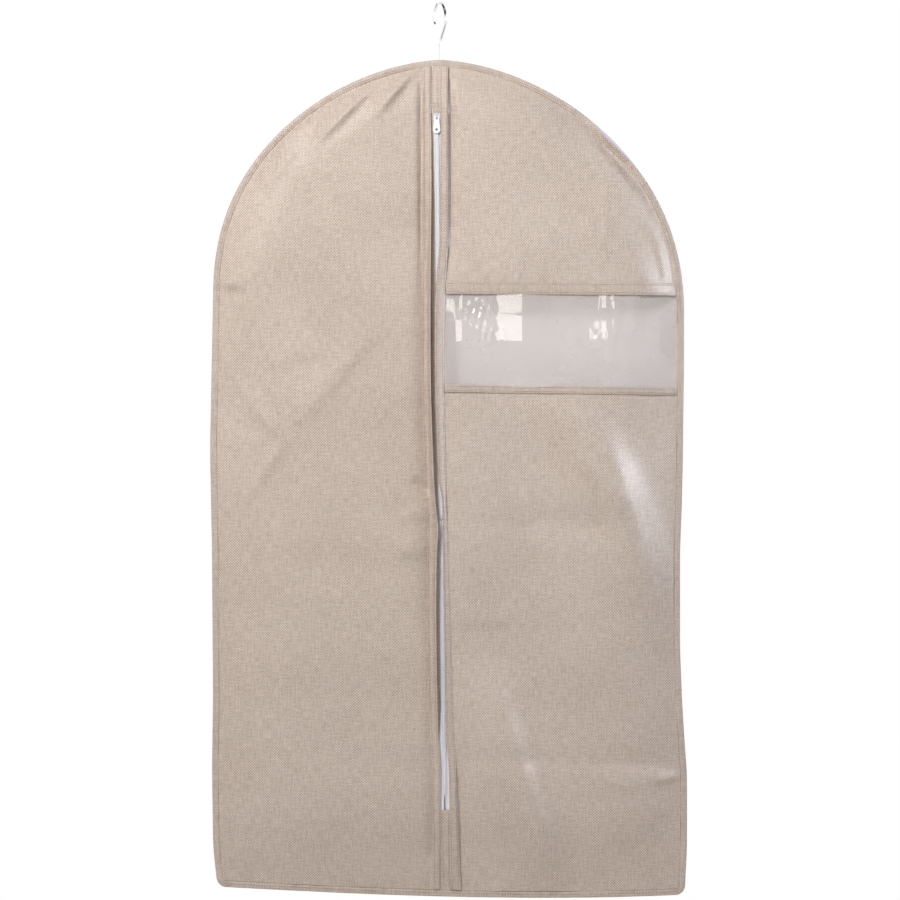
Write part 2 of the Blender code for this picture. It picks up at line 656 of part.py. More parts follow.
pull = flat_curve("zip_pull", [pull_outline, pull_eye, pull_hole], PULL_THICKNESS)
pull.location = (ZIP_X, BAR_Y, BAR_Z)
parts.objects.link(pull)
paint(pull, (0.80, 0.79, 0.82), 0.35)
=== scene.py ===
import math

import bpy
import numpy as np
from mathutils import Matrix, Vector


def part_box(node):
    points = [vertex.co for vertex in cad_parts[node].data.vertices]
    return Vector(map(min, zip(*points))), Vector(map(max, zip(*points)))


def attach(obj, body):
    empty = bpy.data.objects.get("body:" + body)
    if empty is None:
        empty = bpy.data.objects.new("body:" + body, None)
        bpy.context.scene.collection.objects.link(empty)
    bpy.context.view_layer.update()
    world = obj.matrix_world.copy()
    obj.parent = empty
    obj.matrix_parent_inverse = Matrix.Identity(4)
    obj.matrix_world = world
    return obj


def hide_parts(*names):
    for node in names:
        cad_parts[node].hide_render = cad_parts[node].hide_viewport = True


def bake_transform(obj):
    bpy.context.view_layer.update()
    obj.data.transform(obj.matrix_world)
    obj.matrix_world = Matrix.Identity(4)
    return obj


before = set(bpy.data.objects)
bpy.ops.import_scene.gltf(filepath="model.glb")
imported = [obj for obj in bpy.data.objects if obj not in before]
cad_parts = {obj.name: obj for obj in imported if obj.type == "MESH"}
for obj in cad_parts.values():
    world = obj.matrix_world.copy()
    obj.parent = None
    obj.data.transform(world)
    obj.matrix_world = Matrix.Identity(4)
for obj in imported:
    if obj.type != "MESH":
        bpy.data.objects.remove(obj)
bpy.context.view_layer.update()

# Hook
# A bent steel wire with bright chrome plate. It comes up out of the hanger's boss and through the slot in
# the bag's top, and it turns in the boss, where a head formed on its lower end keeps it from pulling out.
WIRE_RADIUS = 0.0018
HOOK_RADIUS = 0.021
HOOK_TURN = math.radians(70)
HOOK_HEAD_RADIUS = 0.0037
HOOK_HEAD_HEIGHT = 0.003
NECK_LENGTH = 0.0312
SHANK_BEND = -0.075


def unit(vectors):
    """Vectors in rows, each divided by its length."""
    return vectors / np.linalg.norm(vectors, axis=1)[:, None]


def squares(ids):
    """Quads between the neighbouring rows and columns of a grid of vertex numbers."""
    return np.stack([ids[:-1, :-1], ids[:-1, 1:], ids[1:, 1:], ids[1:, :-1]], -1).reshape(-1, 4)


def lay_mesh(name, points, quads, caps=(), weave=None, inside=None, finishes=(), crease=40):
    """A mesh object at the origin from points and closed faces: the faces are turned round if the volume
    they enclose comes out negative, edges bent by more than the crease angle are sharp, weave is a UV in
    metres for each point, and inside marks the quads that take the second finish."""
    fans = [np.stack([np.full(len(c) - 2, c[0]), c[1:-1], c[2:]], 1) for c in map(np.asarray, caps)]
    thirds = points[np.concatenate([quads[:, [0, 1, 2]], quads[:, [0, 2, 3]], *fans])]
    volume = np.einsum("ij,ij->", thirds[:, 0], np.cross(thirds[:, 1], thirds[:, 2]))
    faces = quads.tolist() + [list(map(int, c)) for c in caps]
    if volume < 0:
        faces = [face[::-1] for face in faces]
    mesh = bpy.data.meshes.new(name)
    mesh.from_pydata(points.tolist(), [], faces)
    mesh.polygons.foreach_set("use_smooth", np.ones(len(faces), bool))
    mesh.set_sharp_from_angle(angle=math.radians(crease))
    if weave is not None:
        corners = np.zeros(len(mesh.loops), np.int32)
        mesh.loops.foreach_get("vertex_index", corners)
        mesh.uv_layers.new(name="weave").data.foreach_set("uv", weave[corners].astype(np.float32).ravel())
    if inside is not None:
        mesh.polygons.foreach_set("material_index", inside.astype(np.int32))
    for finish in finishes:
        mesh.materials.append(finish)
    mesh.update()
    obj = bpy.data.objects.new(name, mesh)
    bpy.context.scene.collection.objects.link(obj)
    return obj


def node(tree, kind, inputs=None, **settings):
    """A shader node with its settings. Its inputs are linked to sockets and set to plain values."""
    made = tree.nodes.new(kind)
    for key, value in settings.items():
        setattr(made, key, value)
    for key, value in (inputs or {}).items():
        if isinstance(value, bpy.types.NodeSocket):
            tree.links.new(value, made.inputs[key])
        else:
            made.inputs[key].default_value = value
    return made


def blank_finish(name, sockets=None):
    """A new material, its node tree, and its shader with the given sockets set."""
    finish = bpy.data.materials.new(name)
    finish.use_nodes = True
    shader = finish.node_tree.nodes["Principled BSDF"]
    for socket, value in (sockets or {}).items():
        shader.inputs[socket].default_value = value
    return finish, finish.node_tree, shader


def noise(tree, place, scale, detail, roughness=0.5, **settings):
    """A noise texture's value at a place."""
    inputs = {"Vector": place, "Scale": scale, "Detail": detail, "Roughness": roughness}
    return node(tree, "ShaderNodeTexNoise", inputs, **settings).outputs["Fac"]


def between(tree, share, low, high):
    """A value that goes from low to high as share goes from 0 to 1."""
    ramp = node(tree, "ShaderNodeMapRange", {"Value": share, "To Min": low, "To Max": high}, clamp=True)
    return ramp.outputs["Result"]


def tinted(tree, share, dark, light):
    """A colour that goes from dark to light as share goes from 0 to 1."""
    inputs = {"Factor": share, "A": (*dark, 1), "B": (*light, 1)}
    return node(tree, "ShaderNodeMix", inputs, data_type="RGBA").outputs["Result"]


def bumped(tree, shader, height, distance):
    """Join a height to the shader as bump, with its distance in metres."""
    bump = node(tree, "ShaderNodeBump", {"Height": height, "Distance": distance, "Strength": 1.0})
    tree.links.new(bump.outputs["Normal"], shader.inputs["Normal"])


def speckled_finish(name, dark, light, cloud, speck, rough, height, rubbed=False, sockets=None):
    """A finish on Object coordinates from two noises, each given by its scale and detail. The cloud goes
    between two colours, and the specks give the roughness between two values and a bump of the given height.
    On a rubbed finish the cloud gives the roughness."""
    finish, tree, shader = blank_finish(name, sockets)
    place = node(tree, "ShaderNodeTexCoord").outputs["Object"]
    clouds, specks = noise(tree, place, *cloud), noise(tree, place, *speck)
    tree.links.new(tinted(tree, clouds, dark, light), shader.inputs["Base Color"])
    tree.links.new(between(tree, clouds if rubbed else specks, *rough), shader.inputs["Roughness"])
    bumped(tree, shader, specks, height)
    return finish


def ringed(name, rings, **looks):
    """A tube from an array of rings of points: neighbouring rings are joined, and both ends are closed."""
    ids = np.arange(rings.shape[0] * rings.shape[1]).reshape(rings.shape[:2])
    quads = squares(np.concatenate([ids, ids[:, :1]], 1))
    return lay_mesh(name, rings.reshape(-1, 3), quads, [ids[0, ::-1], ids[-1]], **looks)


def wire_piece(name, across, up, radius, turn, sides, finish):
    """A wire in an upright plane that is turned about Z: at each point of the path a ring of the given radius
    stands square to the path, and neighbouring rings are joined."""
    path = np.stack([across, up], 1)
    run = unit(np.gradient(path, axis=0))
    square = np.stack([-run[:, 1], run[:, 0]], 1)
    angle = np.linspace(0, 2 * np.pi, sides, endpoint=False)
    flat = path[:, None] + radius[:, None, None] * np.cos(angle)[None, :, None] * square[:, None]
    aside = radius[:, None] * np.sin(angle)[None]
    x = flat[..., 0] * math.cos(turn) - aside * math.sin(turn)
    y = flat[..., 0] * math.sin(turn) + aside * math.cos(turn)
    return ringed(name, np.stack([x, y, flat[..., 1]], -1), finishes=[finish])


chrome = speckled_finish("hook_chrome", (0.74, 0.75, 0.77), (0.84, 0.84, 0.85), (90.0, 3.0), (1400.0, 2.0),
                         (0.05, 0.16), 0.00001, sockets={"Metallic": 1.0})
# The path runs from the hook's tip round its loop, down a slanting neck to the axis, and down to the head
hook_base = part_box("hook")[0].z
loop = np.radians(np.linspace(205, -5, 90))
loop_z = WIRE_RADIUS - HOOK_RADIUS
neck = np.linspace(0, 1, 40)[1:]
neck_out = np.interp(neck, [0, 0.22, 0.42, 0.62, 0.80, 0.92, 1], [1, 0.86, 0.62, 0.36, 0.14, 0.03, 0])
neck_out = np.convolve(np.pad(neck_out, 4, mode="edge"), np.ones(9) / 9, "valid")
neck_out[-3:] = 0
head_top = hook_base + HOOK_HEAD_HEIGHT
path_across = np.concatenate([HOOK_RADIUS * np.cos(loop), HOOK_RADIUS * neck_out, [0, 0, 0, 0, 0]])
path_up = np.concatenate([loop_z + HOOK_RADIUS * np.sin(loop), loop_z - NECK_LENGTH * neck,
                          [SHANK_BEND, head_top + 0.0001, head_top, hook_base + 0.0004, hook_base]])
path_radius = np.full(len(path_up), WIRE_RADIUS)
path_radius[:6] *= np.sqrt(1 - (1 - np.array([0.06, 0.3, 0.55, 0.75, 0.9, 0.98])) ** 2)
path_radius[-3:] = [HOOK_HEAD_RADIUS, HOOK_HEAD_RADIUS, HOOK_HEAD_RADIUS * 0.85]
hook_wire = wire_piece("hook_wire", path_across, path_up, path_radius, HOOK_TURN, 20, chrome)
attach(hook_wire, "hook")
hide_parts("hook")

# Hanger
# A moulded plastic hanger with a flat section and rounded edges. Its boss holds the hook's swivel, and its
# arms carry the bag's shoulders from inside.
hanger_plastic = speckled_finish("hanger_plastic", (0.60, 0.59, 0.57), (0.68, 0.67, 0.65), (14.0, 2.0),
                                 (700.0, 4.0), (0.38, 0.52), 0.00004)


def refinish(name, finish):
    """Give a solid of the frame its finish."""
    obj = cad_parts[name]
    obj.data.materials.clear()
    obj.data.materials.append(finish)


refinish("hanger_body", hanger_plastic)

# Back panel
# One piece of linen-look woven cloth with a white backing, cut to the bag's outline: straight sides and a
# dome whose halves aren't quite alike. It hangs from the hanger's arms, and its edge is sewn into the
# binding.
TOP = -0.072
BOTTOM = -1.138
LEFT_WIDTH, RIGHT_WIDTH = 0.290, 0.311
LEFT_RISE, RIGHT_RISE = 0.290, 0.321
SIDE_POWER, TOP_POWER = 1.16, 0.952
SWELL, DOME_REACH, SIDE_REACH, BOTTOM_REACH = 0.018, 0.050, 0.085, 0.100
NECK_SWELL, NECK_WIDTH, NECK_REACH = 0.003, 0.014, 0.022
SEAM_HALF = 0.00095
BINDING_WIDTH = 0.010
CLOTH = 0.0008
PANEL_INSET = 0.0088
DOME_FOOT, SIDE_BLEND = -0.30, 0.16
DROP_FROM = -0.72
FOLD_OVERRUN, FOLD_FADE = 0.12, 0.4
MILLIMETRE = 0.001


def dome_point(turn, inset, right):
    """Half width and height of the dome's outline: x = a cos^p, z = b sin^q, both radii less the inset."""
    width = np.where(right, RIGHT_WIDTH, LEFT_WIDTH) - inset
    high = np.where(right, RIGHT_RISE, LEFT_RISE)
    return width * np.cos(turn) ** SIDE_POWER, TOP - high + (high - inset) * np.sin(turn) ** TOP_POWER


def half_width(z, inset, right):
    """Half width of the outline at height z."""
    high = np.where(right, RIGHT_RISE, LEFT_RISE)
    share = np.clip((z - TOP + high) / (high - inset), 0, 1)
    return dome_point(np.arcsin(share ** (1 / TOP_POWER)), inset, right)[0]


def dome_turn(x, inset):
    """The dome's parameter at x."""
    share = np.clip(np.abs(x) / (np.where(x > 0, RIGHT_WIDTH, LEFT_WIDTH) - inset), 0, 1)
    return np.arccos(share ** (1 / SIDE_POWER))


def eased(share):
    """A share held between 0 and 1, with a soft start and a soft end: 3 t^2 - 2 t^3."""
    share = np.clip(share, 0, 1)
    return share * share * (3 - 2 * share)


def swell(x, z):
    """How far the cloth stands off the seam's plane, from 0 at the seams to 1 inside: a quarter sine wave of
    the distance from the sloping seam, over a reach that is longer down the sides, times 1.25 t - 0.25 t^5
    of the distance from the bottom seam."""
    across = np.maximum(half_width(z, BINDING_WIDTH, x > 0) - np.abs(x), 0)
    up = np.maximum(dome_point(dome_turn(x, BINDING_WIDTH), BINDING_WIDTH, x > 0)[1] - z, 0)
    slant = across * up / np.maximum(np.hypot(across, up), 1e-9)
    reach = DOME_REACH + (SIDE_REACH - DOME_REACH) * eased((DOME_FOOT - z) / SIDE_BLEND)
    down = np.clip((z - BOTTOM - BINDING_WIDTH) / BOTTOM_REACH, 0, 1)
    return np.sin(np.clip(slant / reach, 0, 1) * np.pi / 2) * (1.25 * down - 0.25 * down**5)


def half_depth(x, z):
    """Half the bag's depth: the seam's, a small swell at the hook's slot, and the swell of the hung bag."""
    slot_swell = NECK_SWELL * np.exp(-((x / NECK_WIDTH) ** 2) - ((TOP - z) / NECK_REACH) ** 2)
    return SEAM_HALF + slot_swell + SWELL * swell(x, z)


def soft_line(at, values, soft=0.008):
    """A function of height that goes through the values and is smoothed over the given length in metres."""
    fine = np.arange(-1.20, 0.02, 0.001)
    line = np.interp(fine, at[::-1], values[::-1])
    bell = np.exp(-0.5 * (np.arange(-40, 41) * 0.001 / soft) ** 2)
    line = np.convolve(np.pad(line, 40, mode="edge"), bell / bell.sum(), "valid")
    return lambda z: np.interp(z, fine, line)


# The hung bag's outline departs a little from the cut: a waist on the right, and a bottom that is lower there
left_shift = soft_line([-0.327, -0.442, -0.569, -0.697, -0.888, -0.984, -1.080, -1.105, -1.126],
                       [0.0010, -0.0013, -0.0038, -0.0013, 0, -0.0013, 0, 0.0015, 0.0051], 0.012)
right_shift = soft_line([-0.442, -0.569, -0.633, -0.697, -0.825, -0.888, -0.952, -0.978, -1.080, -1.124],
                        [0, -0.0013, -0.0026, -0.0051, -0.0051, -0.0026, 0.0013, 0.0038, 0.0038, 0.0013],
                        0.012)


def hung(x, y, z):
    """Points of the cut moved to where the bag hangs: sideways by the outline's shift, which grows with the
    cube of the distance from the middle, and down by a curve in x that grows towards the bottom."""
    reach = np.clip(np.abs(x) / np.where(x > 0, RIGHT_WIDTH, LEFT_WIDTH), 0, 1.1) ** 3
    aside = reach * np.where(x > 0, right_shift(z), left_shift(z))
    drop = 0.081 * x**3 + 0.083 * x**2 - 0.0263 * x - 0.001
    drop = drop * eased((DROP_FROM - z) / (DROP_FROM - BOTTOM))
    return np.stack(np.broadcast_arrays(x + aside, y, z + drop), -1)


def fold_heights(x, z, folds):
    """Sum of folds, given in millimetres. Each runs from one point to another and has a height and two
    widths, on the right and on the left hand of the run: its section is exp(-(distance / width)^2), and it
    fades at both ends."""
    total = np.zeros(np.broadcast(x, z).shape)
    for x0, z0, x1, z1, height, right, left in np.array(folds) * MILLIMETRE:
        run = np.hypot(x1 - x0, z1 - z0)
        along = ((x - x0) * (x1 - x0) + (z - z0) * (z1 - z0)) / run**2
        off = ((x - x0) * (z1 - z0) - (z - z0) * (x1 - x0)) / run
        fade = eased(np.minimum(along + FOLD_OVERRUN, 1 + FOLD_OVERRUN - along) / FOLD_FADE)
        section = np.exp(-((off / np.where(off > 0, right, left)) ** 2))
        total = total + height * section * fade
    return total


def slow_waves(x, z, seed, height):
    """Soft unevenness: a sum of plane waves 0.09 to 0.30 m long in seeded directions."""
    draw = np.random.default_rng(seed)
    total = np.zeros(np.broadcast(x, z).shape)
    waves = zip(draw.uniform(0.09, 0.30, 16), draw.uniform(0, np.pi, 16), draw.uniform(0, 7, 16))
    for length, heading, phase in waves:
        total = total + np.cos((x * np.cos(heading) + z * np.sin(heading)) * 2 * np.pi / length + phase)
    return height * total / 4


def patch(bottom, top, left, right):
    """A grid of (x, z) points inside four boundary lines, each with its points in order from left to right or
    from the bottom up: the sum of the two ruled surfaces between opposite lines, less the ruled surface of
    the corners."""
    s = np.linspace(0, 1, len(bottom))[None, :, None]
    t = np.linspace(0, 1, len(left))[:, None, None]
    both = (1 - t) * bottom[None] + t * top[None] + (1 - s) * left[:, None] + s * right[:, None]
    low, high = (1 - s) * bottom[0] + s * bottom[-1], (1 - s) * top[0] + s * top[-1]
    return both - (1 - t) * low - t * high


def between_points(start, end, count):
    """Evenly spaced points on a straight line."""
    return np.linspace(np.asarray(start, float), np.asarray(end, float), count)


def run_along(line):
    """The distance along a line of points, at each point."""
    return np.concatenate([[0], np.cumsum(np.linalg.norm(np.diff(line, axis=0), axis=1))])


def evenly(line, count):
    """Points at equal distances along a line of points."""
    run = run_along(line)
    at = np.linspace(0, run[-1], count)
    return np.stack([np.interp(at, run, line[:, 0]), np.interp(at, run, line[:, 1])], 1)


def dome_edge(side, first, last):
    """The cut's edge over the dome on one side (-1 left, 1 right), between two of the dome's parameters."""
    x, z = dome_point(np.linspace(first, last, 400), PANEL_INSET, side > 0)
    return np.stack([side * x, z], 1)


def whole_edge(side, low, last):
    """The cut's edge on one side, straight up from a height and then over the dome."""
    width = (RIGHT_WIDTH if side > 0 else LEFT_WIDTH) - PANEL_INSET
    spring = TOP - (RIGHT_RISE if side > 0 else LEFT_RISE)
    straight = between_points((side * width, low), (side * width, spring), 80)
    return np.concatenate([straight[:-1], dome_edge(side, 0.0, last)])


def layered(name, face, back, weave, finishes):
    """A closed sheet from its two faces, which are grids of the same size, with a rim of quads round the
    edge. The back face takes the second finish."""
    rows, columns = face.shape[:2]
    count = rows * columns
    ids = np.arange(count).reshape(rows, columns)
    ring = np.concatenate([ids[0, :-1], ids[:-1, -1], ids[-1, :0:-1], ids[:0:-1, 0]])
    ahead = np.roll(ring, -1)
    rim = np.stack([ahead, ring, ring + count, ahead + count], 1)
    outer = squares(ids)
    quads = np.concatenate([outer, outer[:, ::-1] + count, rim])
    inside = np.zeros(len(quads), bool)
    inside[len(outer):2 * len(outer)] = len(finishes) > 1
    points = np.concatenate([face.reshape(-1, 3), back.reshape(-1, 3)])
    flat = weave.reshape(-1, 2)
    return lay_mesh(name, points, quads, weave=np.concatenate([flat, flat]), inside=inside, finishes=finishes)


def math_of(tree, operation, first, second=0.0):
    """A Math node's result."""
    made = node(tree, "ShaderNodeMath", {0: first, 1: second}, operation=operation)
    return made.outputs[0]


def linen_finish(name, dark, light, thread=0.0017):
    """Plain weave on the UV in metres. The product of two sines, one across each thread, has a crown on each
    crossing, and its sign says whether warp or weft lies on top. Each set of threads has its own streaks of
    light and dark slub, and the crowns and gaps between threads give the bump. They also give painted shade
    in the colour, darker in the gaps and lighter on the crowns."""
    sockets = {"Specular IOR Level": 0.14, "Coat Weight": 0.22, "Coat Roughness": 0.40, "Sheen Weight": 0.06}
    finish, tree, shader = blank_finish(name, sockets)
    weave = node(tree, "ShaderNodeUVMap", uv_map="weave").outputs["UV"]
    drift = node(tree, "ShaderNodeTexNoise", {"Vector": weave, "Scale": 70.0, "Detail": 2.0},
                 noise_dimensions="2D").outputs["Color"]
    pull = node(tree, "ShaderNodeVectorMath", {0: drift, 1: (0.5, 0.5, 0.5)}, operation="SUBTRACT")
    pull = node(tree, "ShaderNodeVectorMath", {0: pull.outputs[0], 3: 0.0011}, operation="SCALE")
    lie = node(tree, "ShaderNodeVectorMath", {0: weave, 1: pull.outputs[0]}, operation="ADD").outputs[0]
    axes = node(tree, "ShaderNodeSeparateXYZ", {0: lie})
    warp = math_of(tree, "SINE", math_of(tree, "MULTIPLY", axes.outputs[0], math.pi / thread))
    weft = math_of(tree, "SINE", math_of(tree, "MULTIPLY", axes.outputs[1], math.pi / thread))
    crossing = math_of(tree, "MULTIPLY", warp, weft)
    on_top = math_of(tree, "GREATER_THAN", crossing, 0.0)
    flat, steep = [[math_of(tree, "POWER", math_of(tree, "ABSOLUTE", wave), power) for wave in (warp, weft)]
                   for power in (0.3, 0.75)]
    warp_crown = math_of(tree, "MULTIPLY", steep[0], flat[1])
    weft_crown = math_of(tree, "MULTIPLY", flat[0], steep[1])
    crown = node(tree, "ShaderNodeMix", {0: on_top, 2: weft_crown, 3: warp_crown}).outputs[0]
    streaks = []
    for squeeze in ((480.0, 70.0, 1.0), (80.0, 480.0, 1.0)):
        stretched = node(tree, "ShaderNodeMapping", {"Vector": weave, "Scale": squeeze}).outputs[0]
        slub = noise(tree, stretched, 1.0, 3.0, 0.62, noise_dimensions="2D")
        streaks.append(between(tree, slub, -0.55, 1.55))
    slub = node(tree, "ShaderNodeMix", {0: on_top, 2: streaks[1], 3: streaks[0]}).outputs[0]
    cloud = noise(tree, weave, 9.0, 3.0, noise_dimensions="2D")
    mixed = math_of(tree, "ADD", math_of(tree, "MULTIPLY", slub, 0.7), math_of(tree, "MULTIPLY", on_top, 0.5))
    tone = math_of(tree, "ADD", mixed, between(tree, cloud, -0.26, 0.06))
    # Painted shade: the colour is scaled from 0.78 in the gaps between threads to 1.07 on the crowns.
    plain, painted_crown_shade = tinted(tree, tone, dark, light), between(tree, crown, 0.78, 1.07)
    tint = node(tree, "ShaderNodeVectorMath", {0: plain, 3: painted_crown_shade}, operation="SCALE")
    tree.links.new(tint.outputs[0], shader.inputs["Base Color"])
    tree.links.new(between(tree, slub, 0.66, 0.50), shader.inputs["Roughness"])
    bumped(tree, shader, math_of(tree, "ADD", crown, math_of(tree, "MULTIPLY", slub, 0.5)), 0.00022)
    return finish


def felt_backing(name, dark, light):
    """The felted white inside of the cloth."""
    return speckled_finish(name, dark, light, (30.0, 3.0), (900.0, 4.0), (0.55, 0.75), 0.00008)


linen = linen_finish("linen_cloth", (0.395, 0.31, 0.25), (0.735, 0.63, 0.55))
backing = felt_backing("white_backing", (0.68, 0.675, 0.71), (0.76, 0.755, 0.79))

back_folds = [
    (-180, -200, -50, -420, 2.2, 16, 26),
    (200, -210, 70, -450, 2.4, 18, 28),
    (-270, -660, 290, -664, 1.4, 6, 10),
    (-270, -970, 290, -975, -1.3, 10, 8),
    (-270, -360, 290, -365, 1, 6, 10),
    (0, -140, 4, -1080, 1, 7, 7),
    (-210, -460, -130, -600, 2, 8, 12),
    (240, -500, 100, -720, 2.6, 18, 12),
    (160, -980, 130, -1110, 2.2, 20, 30),
]


def back_surface(x, z):
    """The back's outside: half the depth, slow waves and folds, which fade towards the seams."""
    lie = slow_waves(x, z, 21, 0.0013) + fold_heights(x, z, back_folds)
    return half_depth(x, z) + lie * (0.1 + 0.9 * swell(x, z))


PANEL_LOW = BOTTOM + PANEL_INSET
CORNER_TURN = math.radians(47)
SLOT_TURN = [float(dome_turn(np.array(x), PANEL_INSET)) for x in (-0.0135, 0.0030)]
back_wide, back_tall = 150, 250
left_up = evenly(whole_edge(-1, PANEL_LOW, CORNER_TURN), back_tall)
right_up = evenly(whole_edge(1, PANEL_LOW, CORNER_TURN), back_tall)
over = np.concatenate([dome_edge(-1, CORNER_TURN, math.pi / 2),
                       dome_edge(1, CORNER_TURN, math.pi / 2)[-2::-1]])
grid = patch(between_points(left_up[0], right_up[0], back_wide), evenly(over, back_wide), left_up, right_up)
grid = grid[:, ::-1]
x, z = grid[..., 0], grid[..., 1]
depth = back_surface(x, z)
back_cloth = layered("back_cloth", hung(x, depth, z), hung(x, depth - CLOTH, z), grid, [linen, backing])
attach(back_cloth, "bag")
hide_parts("back_panel")

# Front panels
# Three pieces of the same cloth: the left half, and the right half above and below the window. Each is sewn
# into the edge binding outside and under the zip's facing inside.
ZIP_X, ZIP_LEAN = -0.0045, 0.0119
ZIP_TOP, ZIP_BOTTOM = -0.141, -1.026
CREASE_Z = -0.659
WINDOW_HIGH, WINDOW_LOW = -0.371, -0.486
UPPER_EDGE, LOWER_EDGE = -0.363, -0.491
COIL_CLEAR = 0.0037
HANGER_ROOM = 0.0078
ZIP_HOLD = 0.011


def zip_line(z):
    """Where the middle of the zip is at height z: a straight line that leans to the right."""
    return ZIP_X + ZIP_LEAN * (ZIP_TOP - z)


# Where the edges of the zip's facings lie, which the panels' edges follow
edge_z = [-0.0743, -0.1406, -0.1674, -0.2504, -0.3142, -0.3461, -0.3780, -0.4418, -0.5056, -0.6076,
          -0.6332, -0.6536, -0.6714, -0.6944, -0.7608, -0.8373, -0.9368, -0.9713, -1.0262, -1.1180]
left_inner_x = [-0.0119, -0.0119, -0.0112, -0.0112, -0.0119, -0.0121, -0.0124, -0.0124, -0.0116, -0.0080,
                -0.0063, -0.0042, -0.0019, -0.0042, -0.0052, -0.0045, -0.0022, 0.0006, 0.0009, 0.0003]
right_inner_x = [-0.0004, 0.0000, 0.0000, 0.0000, -0.0013, -0.0042, -0.0070, -0.0075, -0.0065, -0.0024,
                 0.0029, 0.0040, 0.0029, 0.0042, 0.0050, 0.0060, 0.0075, 0.0108, 0.0117, 0.0120]
left_inner, right_inner = soft_line(edge_z, left_inner_x, 0.006), soft_line(edge_z, right_inner_x, 0.006)
left_outer = soft_line([-0.0743, -0.3142, -0.3780, -0.4418, -0.5056, -0.6076, -0.6714, -0.7608, -0.8884,
                        -0.9713, -1.1180],
                       [-0.0221, -0.0227, -0.0240, -0.0240, -0.0234, -0.0208, -0.0170, -0.0182, -0.0151,
                        -0.0106, -0.0089])
right_outer = soft_line([-0.0743, -0.3142, -0.3728, -0.4864, -0.5694, -0.6714, -0.7608, -0.8884, -0.9713,
                         -1.1180],
                        [0.0102, 0.0102, 0.0060, 0.0052, 0.0070, 0.0100, 0.0130, 0.0162, 0.0200, 0.0264])

front_folds = [
    # Pulled folds beside the hook
    (20, -18, -79, -138, 15, 16.6, 6.4),
    (-13, -31, -156, -176, 11, 16.6, 6.1),
    (-179, -176, -228, -238, 3, 12.8, 7.7),
    # Puffed edges of the dome
    (-240, -207, -133, -118, 8, 11.5, 5.1),
    (84, -87, 201, -144, 9, 11.5, 5.1),
    # Pinch at the left seam
    (-303, -356, -248, -358, 5, 7.7, 14),
    (-303, -370, -248, -370, -3, 6.4, 7.7),
    # Crossing creases of the left half
    (-261, -480, -197, -558, 3.6, 8.9, 7.7),
    (-197, -558, -248, -636, 3.4, 7.7, 8.9),
    (-82, -414, -187, -539, 3.2, 20.4, 12.8),
    (-228, -452, -138, -444, 1.6, 10.2, 23),
    (-141, -595, -79, -601, 1, 5.1, 7.7),
    (-85, -599, -53, -638, 1.2, 5.1, 5.1),
    (-248, -531, -235, -557, -1.6, 11.5, 8.9),
    # Middle packing crease
    (-294, -679, -141, -684, 1.1, 17.9, 15.3),
    (-179, -684, -28, -692, 1.6, 25.5, 17.9),
    (-199, -719, -18, -714, -0.9, 12.8, 12.8),
    (-57, -698, -13, -698, 3, 8.9, 17.9),
    (-46, -647, -13, -654, 2.2, 8.9, 8.9),
    (6, -661, 102, -664, -0.9, 8.9, 8.9),
    # Lower left
    (-231, -768, -229, -937, -2, 10.2, 10.2),
    (-256, -789, -210, -784, 1.3, 10.2, 7.7),
    (-184, -904, -113, -904, 2.4, 25.5, 12.8),
    (-299, -961, -156, -965, -1.6, 17.9, 11.5),
    (-202, -950, -182, -985, 1.6, 10.2, 10.2),
    (-141, -970, -3, -970, -1.4, 20.4, 12.8),
    (-102, -1121, -5, -1117, 3.5, 7.7, 17.9),
    (-296, -1086, -174, -1090, 2.2, 20.4, 12.8),
    # Valley beside the left facing
    (-25, -21, -24, -365, -6, 3.8, 7.7),
    (-16, -329, -16, -518, -8, 14, 3.8),
    (-16, -490, -11, -633, -7.5, 14, 3.8),
    (-11, -605, -9, -837, -6, 14, 5.1),
    (-9, -812, -5, -1016, -4.5, 11.5, 5.1),
    (-8, -990, -9, -1132, -4, 7.7, 5.1),
    (-36, -608, -13, -625, -3.5, 6.4, 6.4),
    # Valley beside the right facing
    (13, -21, 13, -340, -5, 3.1, 5.5),
    (22, -961, 29, -1131, -3.2, 3.1, 5.1),
    # Right of the dome
    (183, -133, 240, -238, 8, 17.9, 6.4),
    (200, -151, 217, -192, -8, 10.2, 6.4),
    (209, -184, 262, -222, -8, 10.2, 6.4),
    (229, -206, 259, -258, 2.4, 7.7, 6.4),
    (187, -276, 213, -324, 2, 6.4, 6.4),
    (234, -268, 306, -358, -5, 17.9, 15.3),
    (95, -327, 107, -363, 1.2, 3.8, 3.8),
    (209, -231, 211, -340, 1.5, 5.1, 5.1),
    (111, -238, 117, -361, -1.2, 10.2, 10.2),
    # Upright crease under the window
    (94, -488, 103, -625, -1.6, 5.1, 5.1),
    (106, -620, 122, -763, -1.6, 6.4, 6.4),
    (122, -758, 141, -942, -1.4, 7.7, 7.7),
    # Slanting ridge at the right seam
    (157, -480, 314, -789, 12, 38.3, 28.1),
    (209, -640, 336, -863, 4, 33.2, 20.4),
    # Right half between the creases
    (90, -660, 235, -670, -3.4, 19, 21),
    (160, -567, 237, -643, 2.2, 12.8, 10.2),
    (143, -508, 199, -610, 2, 15.3, 11.5),
    (5, -784, 104, -786, 2, 8.9, 17.9),
    (6, -613, 71, -615, 0.8, 6.4, 10.2),
    (10, -833, 134, -837, -0.5, 3.8, 3.8),
    # Lower right
    (5, -961, 196, -965, -2, 11.5, 15.3),
    (186, -965, 319, -971, -3.2, 8.9, 15.3),
    (199, -994, 270, -994, 1.6, 6.4, 15.3),
    (268, -989, 319, -987, 6, 5.1, 8.9),
    (53, -825, 181, -1239, 11, 43.4, 19.1),
]


